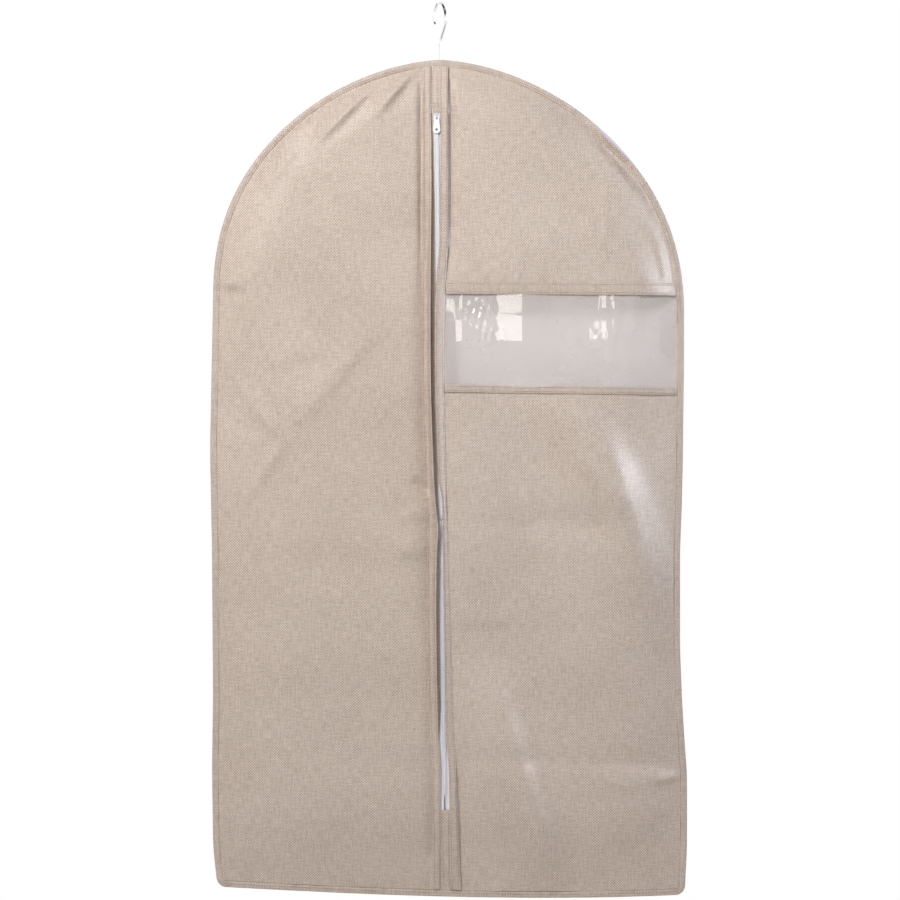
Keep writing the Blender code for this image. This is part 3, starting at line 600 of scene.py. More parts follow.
def front_lie(x, z):
    """How far the front stands proud of its plain swell: slow waves and folds, fading towards the seams and
    pulled flat along the zip."""
    lie = slow_waves(x, z, 4, 0.0012) + fold_heights(x, z, front_folds)
    held = np.exp(-(((x - zip_line(z)) / ZIP_HOLD) ** 4))
    inside = swell(x, z)
    return (lie * (1 - held) - 0.0004 * held) * (0.1 + 0.9 * inside**0.7) + 0.0007 * (1 - inside)


def front_points(x, z, out=0.0):
    """Points on the front's outside, moved towards the viewer by out. No fold sinks in to the hanger."""
    plain = half_depth(x, z)
    return hung(x, -np.maximum(plain + front_lie(x, z), np.minimum(plain, HANGER_ROOM)) - out, z)


def bend_open(obj):
    """Bake the piece's placement into its mesh."""
    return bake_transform(obj)


def panel(name, grid):
    """A front panel from its grid of (x, z) points, backed with white."""
    x, z = grid[..., 0], grid[..., 1]
    obj = layered(name, front_points(x, z), front_points(x, z, -CLOTH), grid, [linen, backing])
    bend_open(obj)
    return obj


def panel_edge(side, z):
    """The panel's edge beside the zip: under its facing, and clear of the coil."""
    if side < 0:
        return zip_line(z) - COIL_CLEAR - 0.0048 * np.clip((-0.90 - z) / 0.06, 0, 1)
    return np.maximum(right_inner(z) + 0.003, zip_line(z) + COIL_CLEAR)


def inner_edge(side, low, high, count):
    """The panel's edge beside the zip, from low to high."""
    z = np.linspace(low, high, count)
    return np.stack([panel_edge(side, z), z], 1)


def edge_turn(side, z):
    """The dome's parameter at the x of the panel's edge beside the zip, taken at height z."""
    return float(dome_turn(panel_edge(side, np.array(z)), PANEL_INSET))


def apex_turn(side):
    """The dome's parameter where the panel's edge beside the zip meets it, in one step from the top."""
    return edge_turn(side, float(dome_point(edge_turn(side, TOP), PANEL_INSET, side > 0)[1]))


def ruled(left, right, count):
    """A grid of straight rows between two lines of points."""
    share = np.linspace(0, 1, count)[None, :, None]
    return (1 - share) * left[:, None] + share * right[:, None]


# Left half, in two lengths that meet at the middle crease
wide, tall, low_tall = 106, 220, 150
edge_up = evenly(whole_edge(-1, CREASE_Z, CORNER_TURN), tall)
edge_over = evenly(dome_edge(-1, CORNER_TURN, apex_turn(-1)), wide)
seam = inner_edge(-1, CREASE_Z, edge_over[-1, 1], tall)
left_grid = patch(between_points(edge_up[0], seam[0], wide), edge_over, edge_up, seam)
left_upper = panel("left_front_upper", left_grid)
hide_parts("left_front_panel")
left_side = between_points((edge_up[0, 0], PANEL_LOW), edge_up[0], low_tall)
left_grid = ruled(left_side, inner_edge(-1, PANEL_LOW, CREASE_Z, low_tall), wide)
left_lower = panel("left_front_lower", left_grid)

# Right half above the window
wide, tall = 110, 116
upper_share = (UPPER_EDGE - TOP + RIGHT_RISE) / (RIGHT_RISE - PANEL_INSET)
first_turn = float(np.arcsin(upper_share ** (1 / TOP_POWER)))
edge_up = evenly(dome_edge(1, first_turn, CORNER_TURN), tall)
edge_over = evenly(dome_edge(1, CORNER_TURN, apex_turn(1)), wide)[::-1]
seam = inner_edge(1, UPPER_EDGE, edge_over[0, 1], tall)
right_grid = patch(between_points(seam[0], edge_up[0], wide), edge_over, seam, edge_up)
right_upper = panel("right_front_upper", right_grid)
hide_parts("right_front_upper_panel")

# Right half below the window, in two lengths that meet at the middle crease
right_x = RIGHT_WIDTH - PANEL_INSET


def right_block(low, high, count):
    """A grid of the right half between two heights."""
    side = between_points((right_x, low), (right_x, high), count)
    return ruled(inner_edge(1, low, high, count), side, wide)


right_middle = panel("right_front_middle", right_block(CREASE_Z, LOWER_EDGE, 50))
right_lower = panel("right_front_lower", right_block(PANEL_LOW, CREASE_Z, 136))
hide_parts("right_front_lower_panel")

# Window pane
# A clear soft vinyl sheet, half a millimetre thick, sewn in under the window's bindings. Folding for sale has
# left upright creases in it, and it bellies out below its top seam, so it mirrors the lamps in patches.
PANE = 0.0005
BELLY = 0.0035
PANE_MARGIN = 0.0006
# Upright creases: crest, slope of the left flank, foot of the left flank at four heights, and width of the
# right flank
crests = [
    (0.1043, 0.075, (0.0735, 0.0725, 0.0735, 0.0900), 0.055),
    (0.2127, 0.102, (0.2030, 0.1870, 0.1960, 0.2127), 0.040),
    (0.2218, 0.104, (0.2165, 0.2170, 0.2218, 0.2218), 0.006),
    (0.2470, 0.114, (0.2350, 0.2370, 0.2470, 0.2470), 0.014),
    (0.0280, 0.056, (0.0280, 0.0150, 0.0165, 0.0280), 0.012),
]
# Small puckers: place, reach and height
puckers = [(0.0470, -0.3960, 0.0150, 0.0010), (0.0625, -0.4220, 0.0080, 0.0006),
           (0.0180, -0.4640, 0.0060, 0.0005), (0.0510, -0.4790, 0.0180, 0.0005),
           (0.2010, -0.4800, 0.0060, 0.0006)]


def pane_lie(x, z):
    """How far the pane stands proud: it bellies out below its top edge and goes back at the bottom. Upright
    creases rise on the left of each crest from a foot that wanders with height, and fall on its right.
    Puckers are short waves inside a round patch."""
    down = (WINDOW_HIGH - z) / (WINDOW_HIGH - WINDOW_LOW)
    total = BELLY * np.sin(np.pi * np.clip(down, 0, 1) ** 1.35) ** 1.1
    total = total + slow_waves(x, z, 33, 0.0003) + slow_waves(x * 5, z * 5, 34, 0.00004)
    for crest, slope, foot, right in crests:
        left = crest - np.interp(down + 0.04 * np.sin(310 * x), [0.05, 0.42, 0.60, 0.80], foot)
        left = left + 0.0014 * np.sin(230 * z)
        off = x - crest
        flank = np.where(off < 0, np.clip(off + left, 0, None), left * np.clip(1 - off / right, 0, 1))
        total = total + slope * flank
    for px, pz, reach, height in puckers:
        patch_of = np.exp(-(((x - px) ** 2 + (z - pz) ** 2) / reach**2) ** 2)
        total = total + height * patch_of * np.sin(520 * x + 180 * z) * np.cos(170 * x - 330 * z)
    return total * np.clip((x - panel_edge(1, z) - 0.004) / 0.012, 0, 1) * np.clip((0.300 - x) / 0.02, 0, 1)


vinyl, tree, shader = blank_finish("clear_sheet", {"Base Color": (0.905, 0.835, 0.79, 1)})
place = node(tree, "ShaderNodeTexCoord").outputs["Object"]
haze = noise(tree, place, 22.0, 4.0)
tree.links.new(between(tree, haze, 0.03, 0.06), shader.inputs["Roughness"])
bumped(tree, shader, noise(tree, place, 40.0, 0.0), 0.00003)
clear = node(tree, "ShaderNodeBsdfTransparent", {"Color": (0.985, 0.98, 0.978, 1)})
glance = node(tree, "ShaderNodeLayerWeight", {"Blend": 0.5}).outputs["Facing"]
mirror = between(tree, math_of(tree, "POWER", glance, 5.0), 0.045, 1.0)
share = math_of(tree, "ADD", mirror, between(tree, haze, 0.24, 0.34))
tree.links.new(math_of(tree, "DIVIDE", mirror, share), shader.inputs["Metallic"])
both = node(tree, "ShaderNodeMixShader", {0: share, 1: clear.outputs[0], 2: shader.outputs[0]})
tree.links.new(both.outputs[0], tree.nodes["Material Output"].inputs["Surface"])

pane_rows, pane_columns = 96, 240
pane_low, pane_high = LOWER_EDGE + PANE_MARGIN, UPPER_EDGE - PANE_MARGIN
pane_corner = (float(half_width(np.array(UPPER_EDGE), PANEL_INSET, True)), pane_high)
side = between_points((right_x, pane_low), pane_corner, pane_rows)
grid = ruled(inner_edge(1, pane_low, pane_high, pane_rows), side, pane_columns)
x, z = grid[..., 0], grid[..., 1]
lie = half_depth(x, z) + pane_lie(x, z) - 0.0003
window_sheet = layered("window_sheet", hung(x, -lie, z), hung(x, -lie + PANE, z), grid, [vinyl])
bend_open(window_sheet)
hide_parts("window_pane")

# Window bindings
# Folded strips of the same cloth, sewn over the pane's top and bottom edges, with a row of stitches near the
# edge that faces the pane.
FOLD = 0.0012
LAYER_GAP = 0.0003
TOP_HEM = (WINDOW_HIGH, WINDOW_HIGH + 0.016, -0.006)
BOTTOM_HEM = (WINDOW_LOW - 0.010, WINDOW_LOW, -0.012)
linen_strip = linen_finish("linen_binding", (0.375, 0.295, 0.24), (0.70, 0.59, 0.51))


def hem_lift(x):
    """How far a strip stands off the panel along its length: the product of two slow waves."""
    return 0.0002 + 0.0004 * np.cos(x * 71) * np.cos(x * 23)


def hem_strip(name, low, high, slope):
    """A folded strip across the window: a flat section with rounded edges, on the panel's outside. Its height
    changes by the slope along x."""
    across = np.array([0, 0.04, 0.14, 0.32, 0.5, 0.68, 0.86, 0.96, 1.0])[:, None]
    start = right_outer((low + high) / 2) + 0.0004
    end = float(half_width(np.array((low + high) / 2), PANEL_INSET + 0.0006, True))
    x = np.linspace(start, end, 110)[None, :]
    z = low + (high - low) * across + slope * x
    x = x + 0 * z
    drop = 0.0004 * np.abs(2 * across - 1) ** 6
    out = LAYER_GAP + FOLD + hem_lift(x) - drop
    face, back = front_points(x, z, out), front_points(x, z, out - FOLD + 2 * drop)
    obj = layered(name, face, back, np.stack([x, z], -1), [linen_strip])
    bend_open(obj)
    return obj


window_top = hem_strip("window_top_hem", *TOP_HEM)
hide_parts("window_top_binding")
window_bottom = hem_strip("window_bottom_hem", *BOTTOM_HEM)
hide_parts("window_bottom_binding")

# Edge bindings
# Cloth tape folded over the cut edges of front and back and sewn through. Two lengths run up the sides and
# over the dome to the hook's slot, and one closes the bottom between them.
BINDING_HALF = 0.0016
CORNER_RADIUS = 0.012
BINDING_INNER = 0.0106
SEAM_ROW = 0.24
PUCKER_LENGTH = 0.0132
TAPE_SHARE = np.array([0, 0.02, 0.07, 0.13, 0.18, 0.21, 0.24, 0.27, 0.31, 0.40, 0.55, 0.70, 0.83, 0.92, 0.98,
                       1.0])
TAPE_ACROSS = np.concatenate([TAPE_SHARE, TAPE_SHARE[-2:0:-1]])
TAPE_ROUND = BINDING_INNER * np.concatenate([TAPE_SHARE, 2 - TAPE_SHARE[-2:0:-1]])


def tape_height(share):
    """The binding's section: half its thickness at a share of its width, as a flattened oval with a groove
    where the row of stitches pulls it in."""
    oval = np.sqrt(np.clip(1 - np.abs(2 * share - 1) ** 5, 0, 1))
    return oval - 0.42 * np.exp(-(((share - SEAM_ROW) / 0.05) ** 2))


def tape_section(inner, outer, bulge):
    """A folded tape carried along two lines, its inner and its outer edge, with the same section front and
    back. Bulge gives the place of its middle and half its thickness along the lines."""
    half = tape_height(TAPE_SHARE)
    through = np.concatenate([-half, half[-2:0:-1]])
    flat = inner[:, None] + (outer - inner)[:, None] * TAPE_ACROSS[None, :, None]
    return flat[..., 0], bulge[0][:, None] + bulge[1][:, None] * through[None], flat[..., 1]


def tape_mesh(name, points, run):
    """A folded tape from its rings of points and the distance along it of each ring, on the bag."""
    weave = np.stack(np.broadcast_arrays(TAPE_ROUND[None], run[:, None]), -1).reshape(-1, 2)
    obj = ringed(name, points, weave=weave, finishes=[linen_strip])
    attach(obj, "bag")
    return obj


def edge_binding(name, inner, outer, curl=0.0):
    """An edge binding from its two lines, with the slight puckers that sewing leaves. Curl is how far its
    outer edge is turned towards the viewer at each point."""
    run = run_along(outer)
    draw = np.random.default_rng(len(outer))
    pucker = np.convolve(draw.normal(size=len(run) + 8), np.ones(9) / 9, "valid")
    wave = np.sin(run * 2 * np.pi / PUCKER_LENGTH)
    bulge = (0.0006 * pucker, BINDING_HALF * (1 + 0.10 * wave + 0.12 * pucker))
    x, y, z = tape_section(inner, outer, bulge)
    return tape_mesh(name, hung(x, y - curl * TAPE_ACROSS[None] ** 1.5, z), run)


def side_lines(side):
    """Inner and outer line of a side binding, from the bottom corner to the hook's slot."""
    right = side > 0
    width = RIGHT_WIDTH if right else LEFT_WIDTH
    spring = TOP - (RIGHT_RISE if right else LEFT_RISE)
    low = np.concatenate([BOTTOM + CORNER_RADIUS * (1 - np.cos(np.linspace(0.25, np.pi / 2, 8))),
                          np.arange(BOTTOM + CORNER_RADIUS + 0.004, spring, 0.004)])
    cut = np.clip(CORNER_RADIUS - (low - BOTTOM), 0, None)
    edge = width - CORNER_RADIUS + np.sqrt(CORNER_RADIUS**2 - cut**2)
    turn = np.linspace(0, 1, 150) ** 0.95 * SLOT_TURN[1 if right else 0]
    lines = []
    for straight, inset in ((np.full(len(low), width - BINDING_INNER), BINDING_INNER), (edge, 0.0)):
        x, z = dome_point(turn, inset, right)
        lines.append(np.stack([np.concatenate([straight, x]) * side, np.concatenate([low, z])], 1))
    return lines


left_lines, right_lines = side_lines(-1), side_lines(1)
# On the right of the dome the front has drawn the binding inwards and turned up the back's white inside
whole_inner, whole_outer = right_lines
away = unit(whole_outer - whole_inner)
on_dome = whole_outer[:, 1] > DOME_FOOT
drawn = np.interp(whole_outer[:, 0], [0.194, 0.203, 0.214, 0.228, 0.244, 0.258],
                  [0, 0.0034, 0.0050, 0.0040, 0.0016, 0]) * on_dome
drawn = np.convolve(np.pad(drawn, 4, mode="edge"), np.ones(9) / 9, "valid")[:, None]
right_lines = (whole_inner - drawn * away, whole_outer - drawn * away)
turned = np.flatnonzero(drawn[:, 0] > 0.0004)
turned = slice(turned[0], turned[-1] + 1)
edge_share = np.linspace(0, 1, 7)[:, None, None]
# Painted shade: the turned-up backing takes a darker copy of the backing's colours.
shaded_turned_backing = felt_backing("shaded_turned_backing", (0.50, 0.50, 0.60), (0.58, 0.58, 0.68))
low_edge = (right_lines[1] - 0.003 * away)[turned][None]
turned_up = low_edge + ((whole_outer - 0.0002 * away)[turned][None] - low_edge) * edge_share
turned_y = 0.0006 - 0.0010 * np.sin(np.pi * edge_share[..., 0] / 2)
turned_face = hung(turned_up[..., 0], turned_y + 0 * turned_up[..., 0], turned_up[..., 1])
turned_back = hung(turned_up[..., 0], turned_y + CLOTH + 0 * turned_up[..., 0], turned_up[..., 1])
turned_hem = layered("turned_hem", turned_face, turned_back, turned_up, [shaded_turned_backing, linen_strip])
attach(turned_hem, "bag")
left_binding = edge_binding("left_binding", *left_lines)
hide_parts("left_edge_binding")
right_binding = edge_binding("right_binding", *right_lines, drawn * 1.9)
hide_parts("right_edge_binding")
bottom_x = np.linspace(-(LEFT_WIDTH - BINDING_INNER + 0.0006), RIGHT_WIDTH - BINDING_INNER + 0.0006, 150)
bottom_lines = [np.stack(np.broadcast_arrays(bottom_x, BOTTOM + inset), 1) for inset in (BINDING_INNER, 0.0)]
bottom_binding = edge_binding("bottom_binding", *bottom_lines)
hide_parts("bottom_edge_binding")

# Zip facings
# Folded strips of cloth sewn along both edges of the zip, on top of the panels. Their free edges wander over
# the tape: they stand apart at the top and bottom of the zip and lap over each other in the middle.
# How far each edge is lifted off the cloth below it
left_inner_lift = soft_line([-0.14, -0.18, -0.24, -0.34, -0.64, -0.72, -0.88, -0.95, -1.00],
                            [0.0010, 0.0036, 0.0066, 0.0100, 0.0105, 0.0105, 0.0090, 0.0030, 0.0006])
right_inner_lift = soft_line([-0.16, -0.30, -0.36, -0.64, -0.70, -0.95, -1.02],
                             [0.0004, 0.0008, 0.0012, 0.0012, 0.0012, 0.0010, 0.0002])
left_outer_lift = soft_line([-0.08, -0.30, -0.60, -1.12], [0.0002, 0.0002, 0.0001, 0.0003])
right_outer_lift = soft_line([-0.078, -0.10, -0.30, -0.36, -0.95, -0.99, -1.12],
                             [0.0006, 0.0034, 0.0032, 0.0001, 0.0001, 0.0026, 0.0016])
right_outer_full = soft_line([-0.30, -0.36, -0.95, -0.99], [1.0, 0.15, 0.15, 1.0])
left_outer_full = soft_line([-0.30, -0.36, -0.88, -0.95], [1.0, 0.05, 0.05, 1.0])
right_puff = soft_line([-0.26, -0.36, -0.58, -0.66, -0.90, -0.96], [0.0, 0.0024, 0.0024, 0.0014, 0.0010, 0.0])
left_lip = soft_line([-0.26, -0.36, -0.90, -0.97], [0.0, 1.0, 1.0, 0.0])
FACING_STEP = 0.0035
FACING_ROWS = (0.2, 0.8)
FACING_LOW, FACING_HIGH = BOTTOM + PANEL_INSET + 0.0008, TOP - 0.0085
left_edges = (left_inner, left_outer, left_inner_lift, left_outer_lift, left_outer_full)
right_edges = (right_inner, right_outer, right_inner_lift, right_outer_lift, right_outer_full)


def facing_at(share, z, side):
    """Where a point of a facing's outside lies, and the strip's thickness there: share goes from 0 at the
    strip's free edge over the zip to 1 at its sewn edge, where it follows the panel. Both edges are rounded.
    Where the strip isn't full it thins out to its sewn edge. The left one stands up in a lip along its free
    edge, and the right one is puffed up behind its free edge."""
    inner, outer, inner_lift, outer_lift, full = left_edges if side < 0 else right_edges
    x = inner(z) + (outer(z) - inner(z)) * share
    lift = inner_lift(z) + (outer_lift(z) - inner_lift(z)) * share**0.8
    follow = share**3
    if side > 0:
        lift = lift + right_puff(z) * np.sin(np.pi * share**0.55) ** 0.8
    else:
        lift = lift + left_lip(z) * (outer_lift(z) + inner_lift(z) * np.exp(-((share / 0.24) ** 2)) - lift)
        follow = follow + left_lip(z) * (eased(share / 0.45) - follow)
    lift = lift + front_lie(x, z) * follow
    thick = FOLD * (1 - 0.7 * np.abs(2 * share - 1) ** 8) * (1 + (full(z) - 1) * share**2)
    low = half_depth(zip_line(z), z) + LAYER_GAP + lift
    return x, -(low + thick), thick


def facing_piece(name, side, low, high):
    """A length of facing between two heights."""
    share = np.array([0, 0.02, 0.05, 0.1, 0.17, 0.25, 0.35, 0.47, 0.6, 0.75, 0.9, 0.97, 1.0])
    share = (share if side > 0 else share[::-1])[None]
    z = np.linspace(low, high, int((high - low) / FACING_STEP) + 2)[:, None]
    x, y, thick = facing_at(share, z, side)
    z = z + 0 * x
    obj = layered(name, hung(x, y, z), hung(x, y + thick, z), np.stack([x, z], -1), [linen_strip])
    return obj


def in_lengths(make, kind, low, high, stands=True):
    """What runs down both sides of the zip, in two lengths a side that meet at the middle crease. The upper
    one stands for the solid."""
    made = {}
    for half, side in (("left", -1), ("right", 1)):
        for length, ends in (("upper", (CREASE_Z, high)), ("lower", (low, CREASE_Z))):
            made[half, length] = make(f"{half}_{kind}_{length}", side, *ends)
            bend_open(made[half, length])
        if stands:
            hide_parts(f"{half}_zip_{kind}")
    return made


facings = in_lengths(facing_piece, "facing", FACING_LOW, FACING_HIGH)

# Tabs
# Short strips of cloth that close the front between the facings: one above the zip, up to the hook's slot,
# and one below it. A lip behind the hook closes the slot at the back, and a hem runs across in front of the
# hook.
TAB_HALF = 0.0076
TAB_STEP = 0.003
TONGUE_HALF = 0.0065
TONGUE_FRONT, TONGUE_BACK = 0.0152, 0.0146
HEM_LEFT, HEM_RIGHT = -0.034, 0.024


def tab_strip(name, low, high, way, half, lift):
    """A strip on the zip's line, on the plain swell of the front (way -1) or the back (way 1), off it by
    lift."""
    share = np.linspace(-1, 1, 13)[None]
    z = np.linspace(low, high, int((high - low) / TAB_STEP) + 3)[:, None]
    x = zip_line(z) - way * half * share
    z = z + 0 * x
    depth = half_depth(x, z) + lift
    face, back = hung(x, way * depth, z), hung(x, way * (depth - CLOTH), z)
    obj = layered(name, face, back, np.stack([x, z], -1), [linen, backing])
    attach(obj, "bag")
    return obj


top_tab = tab_strip("top_tab", ZIP_TOP, TOP - 0.0045, -1, TAB_HALF, 0.0002)
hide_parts("zip_top_tab")
bottom_tab = tab_strip("bottom_tab", FACING_LOW, ZIP_BOTTOM, -1, TAB_HALF + 0.002, 0.0002)
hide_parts("zip_bottom_tab")
# A tongue of backing under the bottom tab, behind the end of the zip
z = np.linspace(ZIP_BOTTOM - 0.004, ZIP_BOTTOM + 0.024, 15)[:, None]
x = zip_line(z) + TONGUE_HALF * np.linspace(-1, 1, 9)[None]
z = z + 0 * x
bottom_tongue = layered("bottom_tongue", hung(x, -TONGUE_FRONT, z), hung(x, -TONGUE_BACK, z),
                        np.stack([x, z], -1), [backing])
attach(bottom_tongue, "bag")
slot_lip = tab_strip("slot_lip", TOP - 0.0088, TOP - 0.0006, 1, TAB_HALF, 0.0)
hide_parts("hook_slot_lip")


def slot_hem():
    """The hem across the front of the hook's slot: the binding's section, carried along the dome from one
    binding's end to the other and bowed forwards round the hook's wire."""
    x = np.linspace(HEM_LEFT, HEM_RIGHT, 60)
    inner, outer = [np.stack([x, dome_point(dome_turn(x, inset), inset, x > 0)[1]], 1)
                    for inset in (BINDING_INNER, 0.0)]
    ends = np.clip(np.minimum(x - HEM_LEFT, HEM_RIGHT - x) / 0.012, 0, 1)
    bow = 0.0012 + 0.0019 * np.exp(-((x / 0.010) ** 2)) * ends
    return tape_mesh("slot_hem", hung(*tape_section(inner, outer, (-bow, 0.0005 + 0.0005 * ends))), x)


front_hem = slot_hem()

# Zip tapes
# Two white woven polyester tapes, sewn under the facings. Each has a thicker corded edge that carries the
# coil.
TAPE_FRONT = 0.01785
TAPE = 0.0006
TAPE_STEP = 0.006
TAPE_INNER, TAPE_OUTER = 0.0003, 0.0072
TAPE_LOW, TAPE_HIGH = ZIP_BOTTOM - 0.004, ZIP_TOP + 0.004
RIB, PICK = 0.0011, 0.0006


def ridges(tree, across, width):
    """Rounded ridges of one width: the absolute value of a sine."""
    wave = math_of(tree, "SINE", math_of(tree, "MULTIPLY", across, math.pi / width))
    return math_of(tree, "ABSOLUTE", wave)


zip_tape, tree, shader = blank_finish("zip_tape")
weave = node(tree, "ShaderNodeUVMap", uv_map="weave").outputs["UV"]
axes = node(tree, "ShaderNodeSeparateXYZ", {0: weave})
ribs, picks = ridges(tree, axes.outputs[0], RIB), ridges(tree, axes.outputs[1], PICK)
fleck = noise(tree, weave, 260.0, 3.0, noise_dimensions="2D")
# The colour is partly painted shade, darker in the grooves between the ribs and lighter on their tops, and
# partly flecked at random.
tone = math_of(tree, "MULTIPLY", math_of(tree, "ADD", ribs, fleck), 0.5)
tree.links.new(tinted(tree, tone, (0.86, 0.845, 0.90), (0.95, 0.935, 0.98)), shader.inputs["Base Color"])
tree.links.new(between(tree, fleck, 0.6, 0.8), shader.inputs["Roughness"])
bumped(tree, shader, math_of(tree, "ADD", ribs, math_of(tree, "MULTIPLY", picks, 0.6)), 0.00015)


def tape_piece(name, side, low, high):
    """A length of tape beside the zip's line, with a bead along its inner edge. The tapes part where the
    slider stops."""
    share = np.array([0, 0.02, 0.06, 0.1, 0.14, 0.3, 0.5, 0.7, 0.9, 1.0])
    share = (share if side > 0 else share[::-1])[None]
    z = np.linspace(low, high, int((high - low) / TAPE_STEP) + 2)[:, None]
    inner = TAPE_INNER + 0.0006 * np.clip((ZIP_BOTTOM + 0.026 - z) / 0.008, 0, 1)
    x = zip_line(z) + side * (inner + (TAPE_OUTER - inner) * share)
    z = z + 0 * x
    bead = 0.00012 * np.exp(-(((share - 0.06) / 0.04) ** 2))
    y = -TAPE_FRONT - bead + 0 * x
    flat = np.stack([side * (x - zip_line(z)), z], -1)
    obj = layered(name, hung(x, y, z), hung(x, y + TAPE + 2 * bead, z), flat, [zip_tape])
    return obj


tapes = in_lengths(tape_piece, "tape", TAPE_LOW, TAPE_HIGH)

# Zip coils
# Two rows of white nylon filament, each wound in a flattened spiral along its tape's edge. Their turns
# alternate and hook together in the middle, except at the ends, where the slider's post parts them.
COIL_PITCH = 0.0014
COIL_FILAMENT = 0.00036
COIL_CENTRE = 0.01905
COIL_ASIDE, COIL_REACH, COIL_RISE = 0.0012, 0.0015, 0.0004
COIL_LOW, COIL_HIGH = ZIP_BOTTOM + 0.0004, ZIP_TOP - 0.0004
coil_nylon = speckled_finish("zip_coil", (0.90, 0.89, 0.94), (0.96, 0.955, 0.99), (500.0, 2.0), (500.0, 2.0),
                             (0.28, 0.42), 0.00003,
                             sockets={"Subsurface Weight": 0.4, "Subsurface Radius": (0.001, 0.001, 0.001),
                                      "Subsurface Scale": 1.0})


def coil_piece(name, side, low, high):
    """A length of coil: a filament of round section carried along a flattened spiral whose axis is the tape's
    edge. Towards the zip's ends the spiral is narrower and stands off the middle."""
    steps = int((high - low) / COIL_PITCH) * 9
    z = np.linspace(low + COIL_PITCH, high - COIL_PITCH, steps)
    turn = (z - COIL_LOW) / COIL_PITCH * 2 * np.pi
    parted = np.clip(np.maximum((z - COIL_HIGH + 0.019) / 0.005, (COIL_LOW + 0.020 - z) / 0.005), 0, 1)
    centre = COIL_ASIDE + 0.0006 * parted
    wide = COIL_REACH - 0.0008 * parted
    phase = turn if side > 0 else turn + np.pi
    x = zip_line(z) + side * (centre + wide * np.cos(phase))
    path = np.stack([x, -COIL_CENTRE - COIL_RISE * np.sin(phase), z], 1)
    run = unit(np.gradient(path, axis=0))
    first = unit(np.cross(run, (0.0, 0.0, 1.0)))
    second = np.cross(run, first)
    angle = np.linspace(0, 2 * np.pi, 5, endpoint=False)[None, :, None]
    ring = np.cos(angle) * first[:, None] + np.sin(angle) * second[:, None]
    points = path[:, None] + COIL_FILAMENT * ring
    rings = hung(points[..., 0], points[..., 1], points[..., 2])
    return ringed(name, rings, finishes=[coil_nylon], crease=80)


in_lengths(coil_piece, "coil", COIL_LOW, COIL_HIGH)

# Slider and pull
# A cast slider and a flat pull that hangs on its bail, both sprayed. The slider's paint is a darker grey than
# the pull's near-white, and a cloud varies the tone and roughness of each.
for name, paint, dark, light in (("zip_slider", "slider_cast", (0.52, 0.51, 0.55), (0.62, 0.61, 0.65)),
                                 ("zip_pull", "slider_paint", (0.76, 0.76, 0.78), (0.84, 0.84, 0.85))):
    finish = speckled_finish(paint, dark, light, (240.0, 4.0), (1500.0, 2.0), (0.22, 0.40), 0.00002,
                             rubbed=True)
    refinish(name, finish)

# Stitching
# Lockstitch in thread far darker than the cloth, a dark brown that paints the shade along the stitch lines:
# rows along the bindings, the facings, the window's strips and the tabs. Each stitch is a short thread that
# dips into the cloth at both ends.
STITCH_PITCH = 0.0036
STITCH_LENGTH = 0.0028
THREAD_RADIUS = 0.00032
# Painted shade: the thread's dark brown stands in for the shade along the rows of stitches.
thread = speckled_finish("shade_dark_thread", (0.19, 0.135, 0.10), (0.30, 0.225, 0.175), (1800.0, 2.0),
                         (1800.0, 2.0), (0.55, 0.75), 0.00005)


def stitch_row(line, outward):
    """Points and quads of a row of stitches along a line of surface points. Each stitch is four rings of four
    points, thinner and lower at its ends, closed at both ends."""
    run = run_along(line)
    at = np.arange(STITCH_PITCH / 2, run[-1], STITCH_PITCH)
    stations = at[:, None] + STITCH_LENGTH * np.array([-0.5, -0.3, 0.3, 0.5])[None]
    spots = np.stack([np.interp(stations, run, line[:, i]) for i in range(3)], -1)
    ahead = unit(spots[:, -1] - spots[:, 0])
    out = np.broadcast_to(np.asarray(outward, float), ahead.shape)
    aside = unit(np.cross(ahead, out))
    thick = THREAD_RADIUS * np.array([0.6, 1.0, 1.0, 0.6])
    high = np.array([-0.00022, 0.00006, 0.00006, -0.00022])
    angle = np.radians([45, 135, 225, 315])[None, None, :, None]
    ring = np.cos(angle) * aside[:, None, None] + np.sin(angle) * out[:, None, None]
    points = spots[:, :, None] + high[None, :, None, None] * out[:, None, None]
    points = points + thick[None, :, None, None] * ring
    base = np.arange(16).reshape(4, 4)
    wrapped = squares(np.concatenate([base, base[:, :1]], 1))
    quads = np.concatenate([wrapped, base[:1, ::-1], base[3:]])
    every = quads[None] + 16 * np.arange(len(at))[:, None, None]
    return points.reshape(-1, 3), every.reshape(-1, 4)


def stitches(name, rows):
    """One piece from several rows of stitches, each a line of points and its outward direction."""
    made = [stitch_row(*row) for row in rows]
    starts = np.cumsum([0] + [len(points) for points, quads in made[:-1]])
    points = np.concatenate([row[0] for row in made])
    quads = np.concatenate([row[1] + start for start, row in zip(starts, made)])
    obj = lay_mesh(name, points, quads, finishes=[thread], crease=70)
    return obj


def binding_row(lines, share, front, start=0.0, stop=1.0):
    """A line on a binding's outside, at a share of its width from the inner edge."""
    inner, outer = lines
    some = slice(int(len(inner) * start), int(len(inner) * stop))
    spot = (inner + (outer - inner) * share)[some]
    y = BINDING_HALF * tape_height(share) * (-1 if front else 1)
    return hung(spot[:, 0], y, spot[:, 1]), (0, -1 if front else 1, 0)


SIDE_START, ARCH_START = 0.02, 0.56
SECOND_ROW = 0.55
rows = []
for lines, start, arch in ((left_lines, SIDE_START, ARCH_START), (right_lines, SIDE_START, ARCH_START),
                           (bottom_lines, 0.0, 0.0)):
    rows.append(binding_row(lines, SEAM_ROW, True, start))
    rows.append(binding_row(lines, SECOND_ROW, True, arch))
    rows.append(binding_row(lines, SEAM_ROW, False, start))
edge_stitches = stitches("edge_stitches", rows)
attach(edge_stitches, "bag")


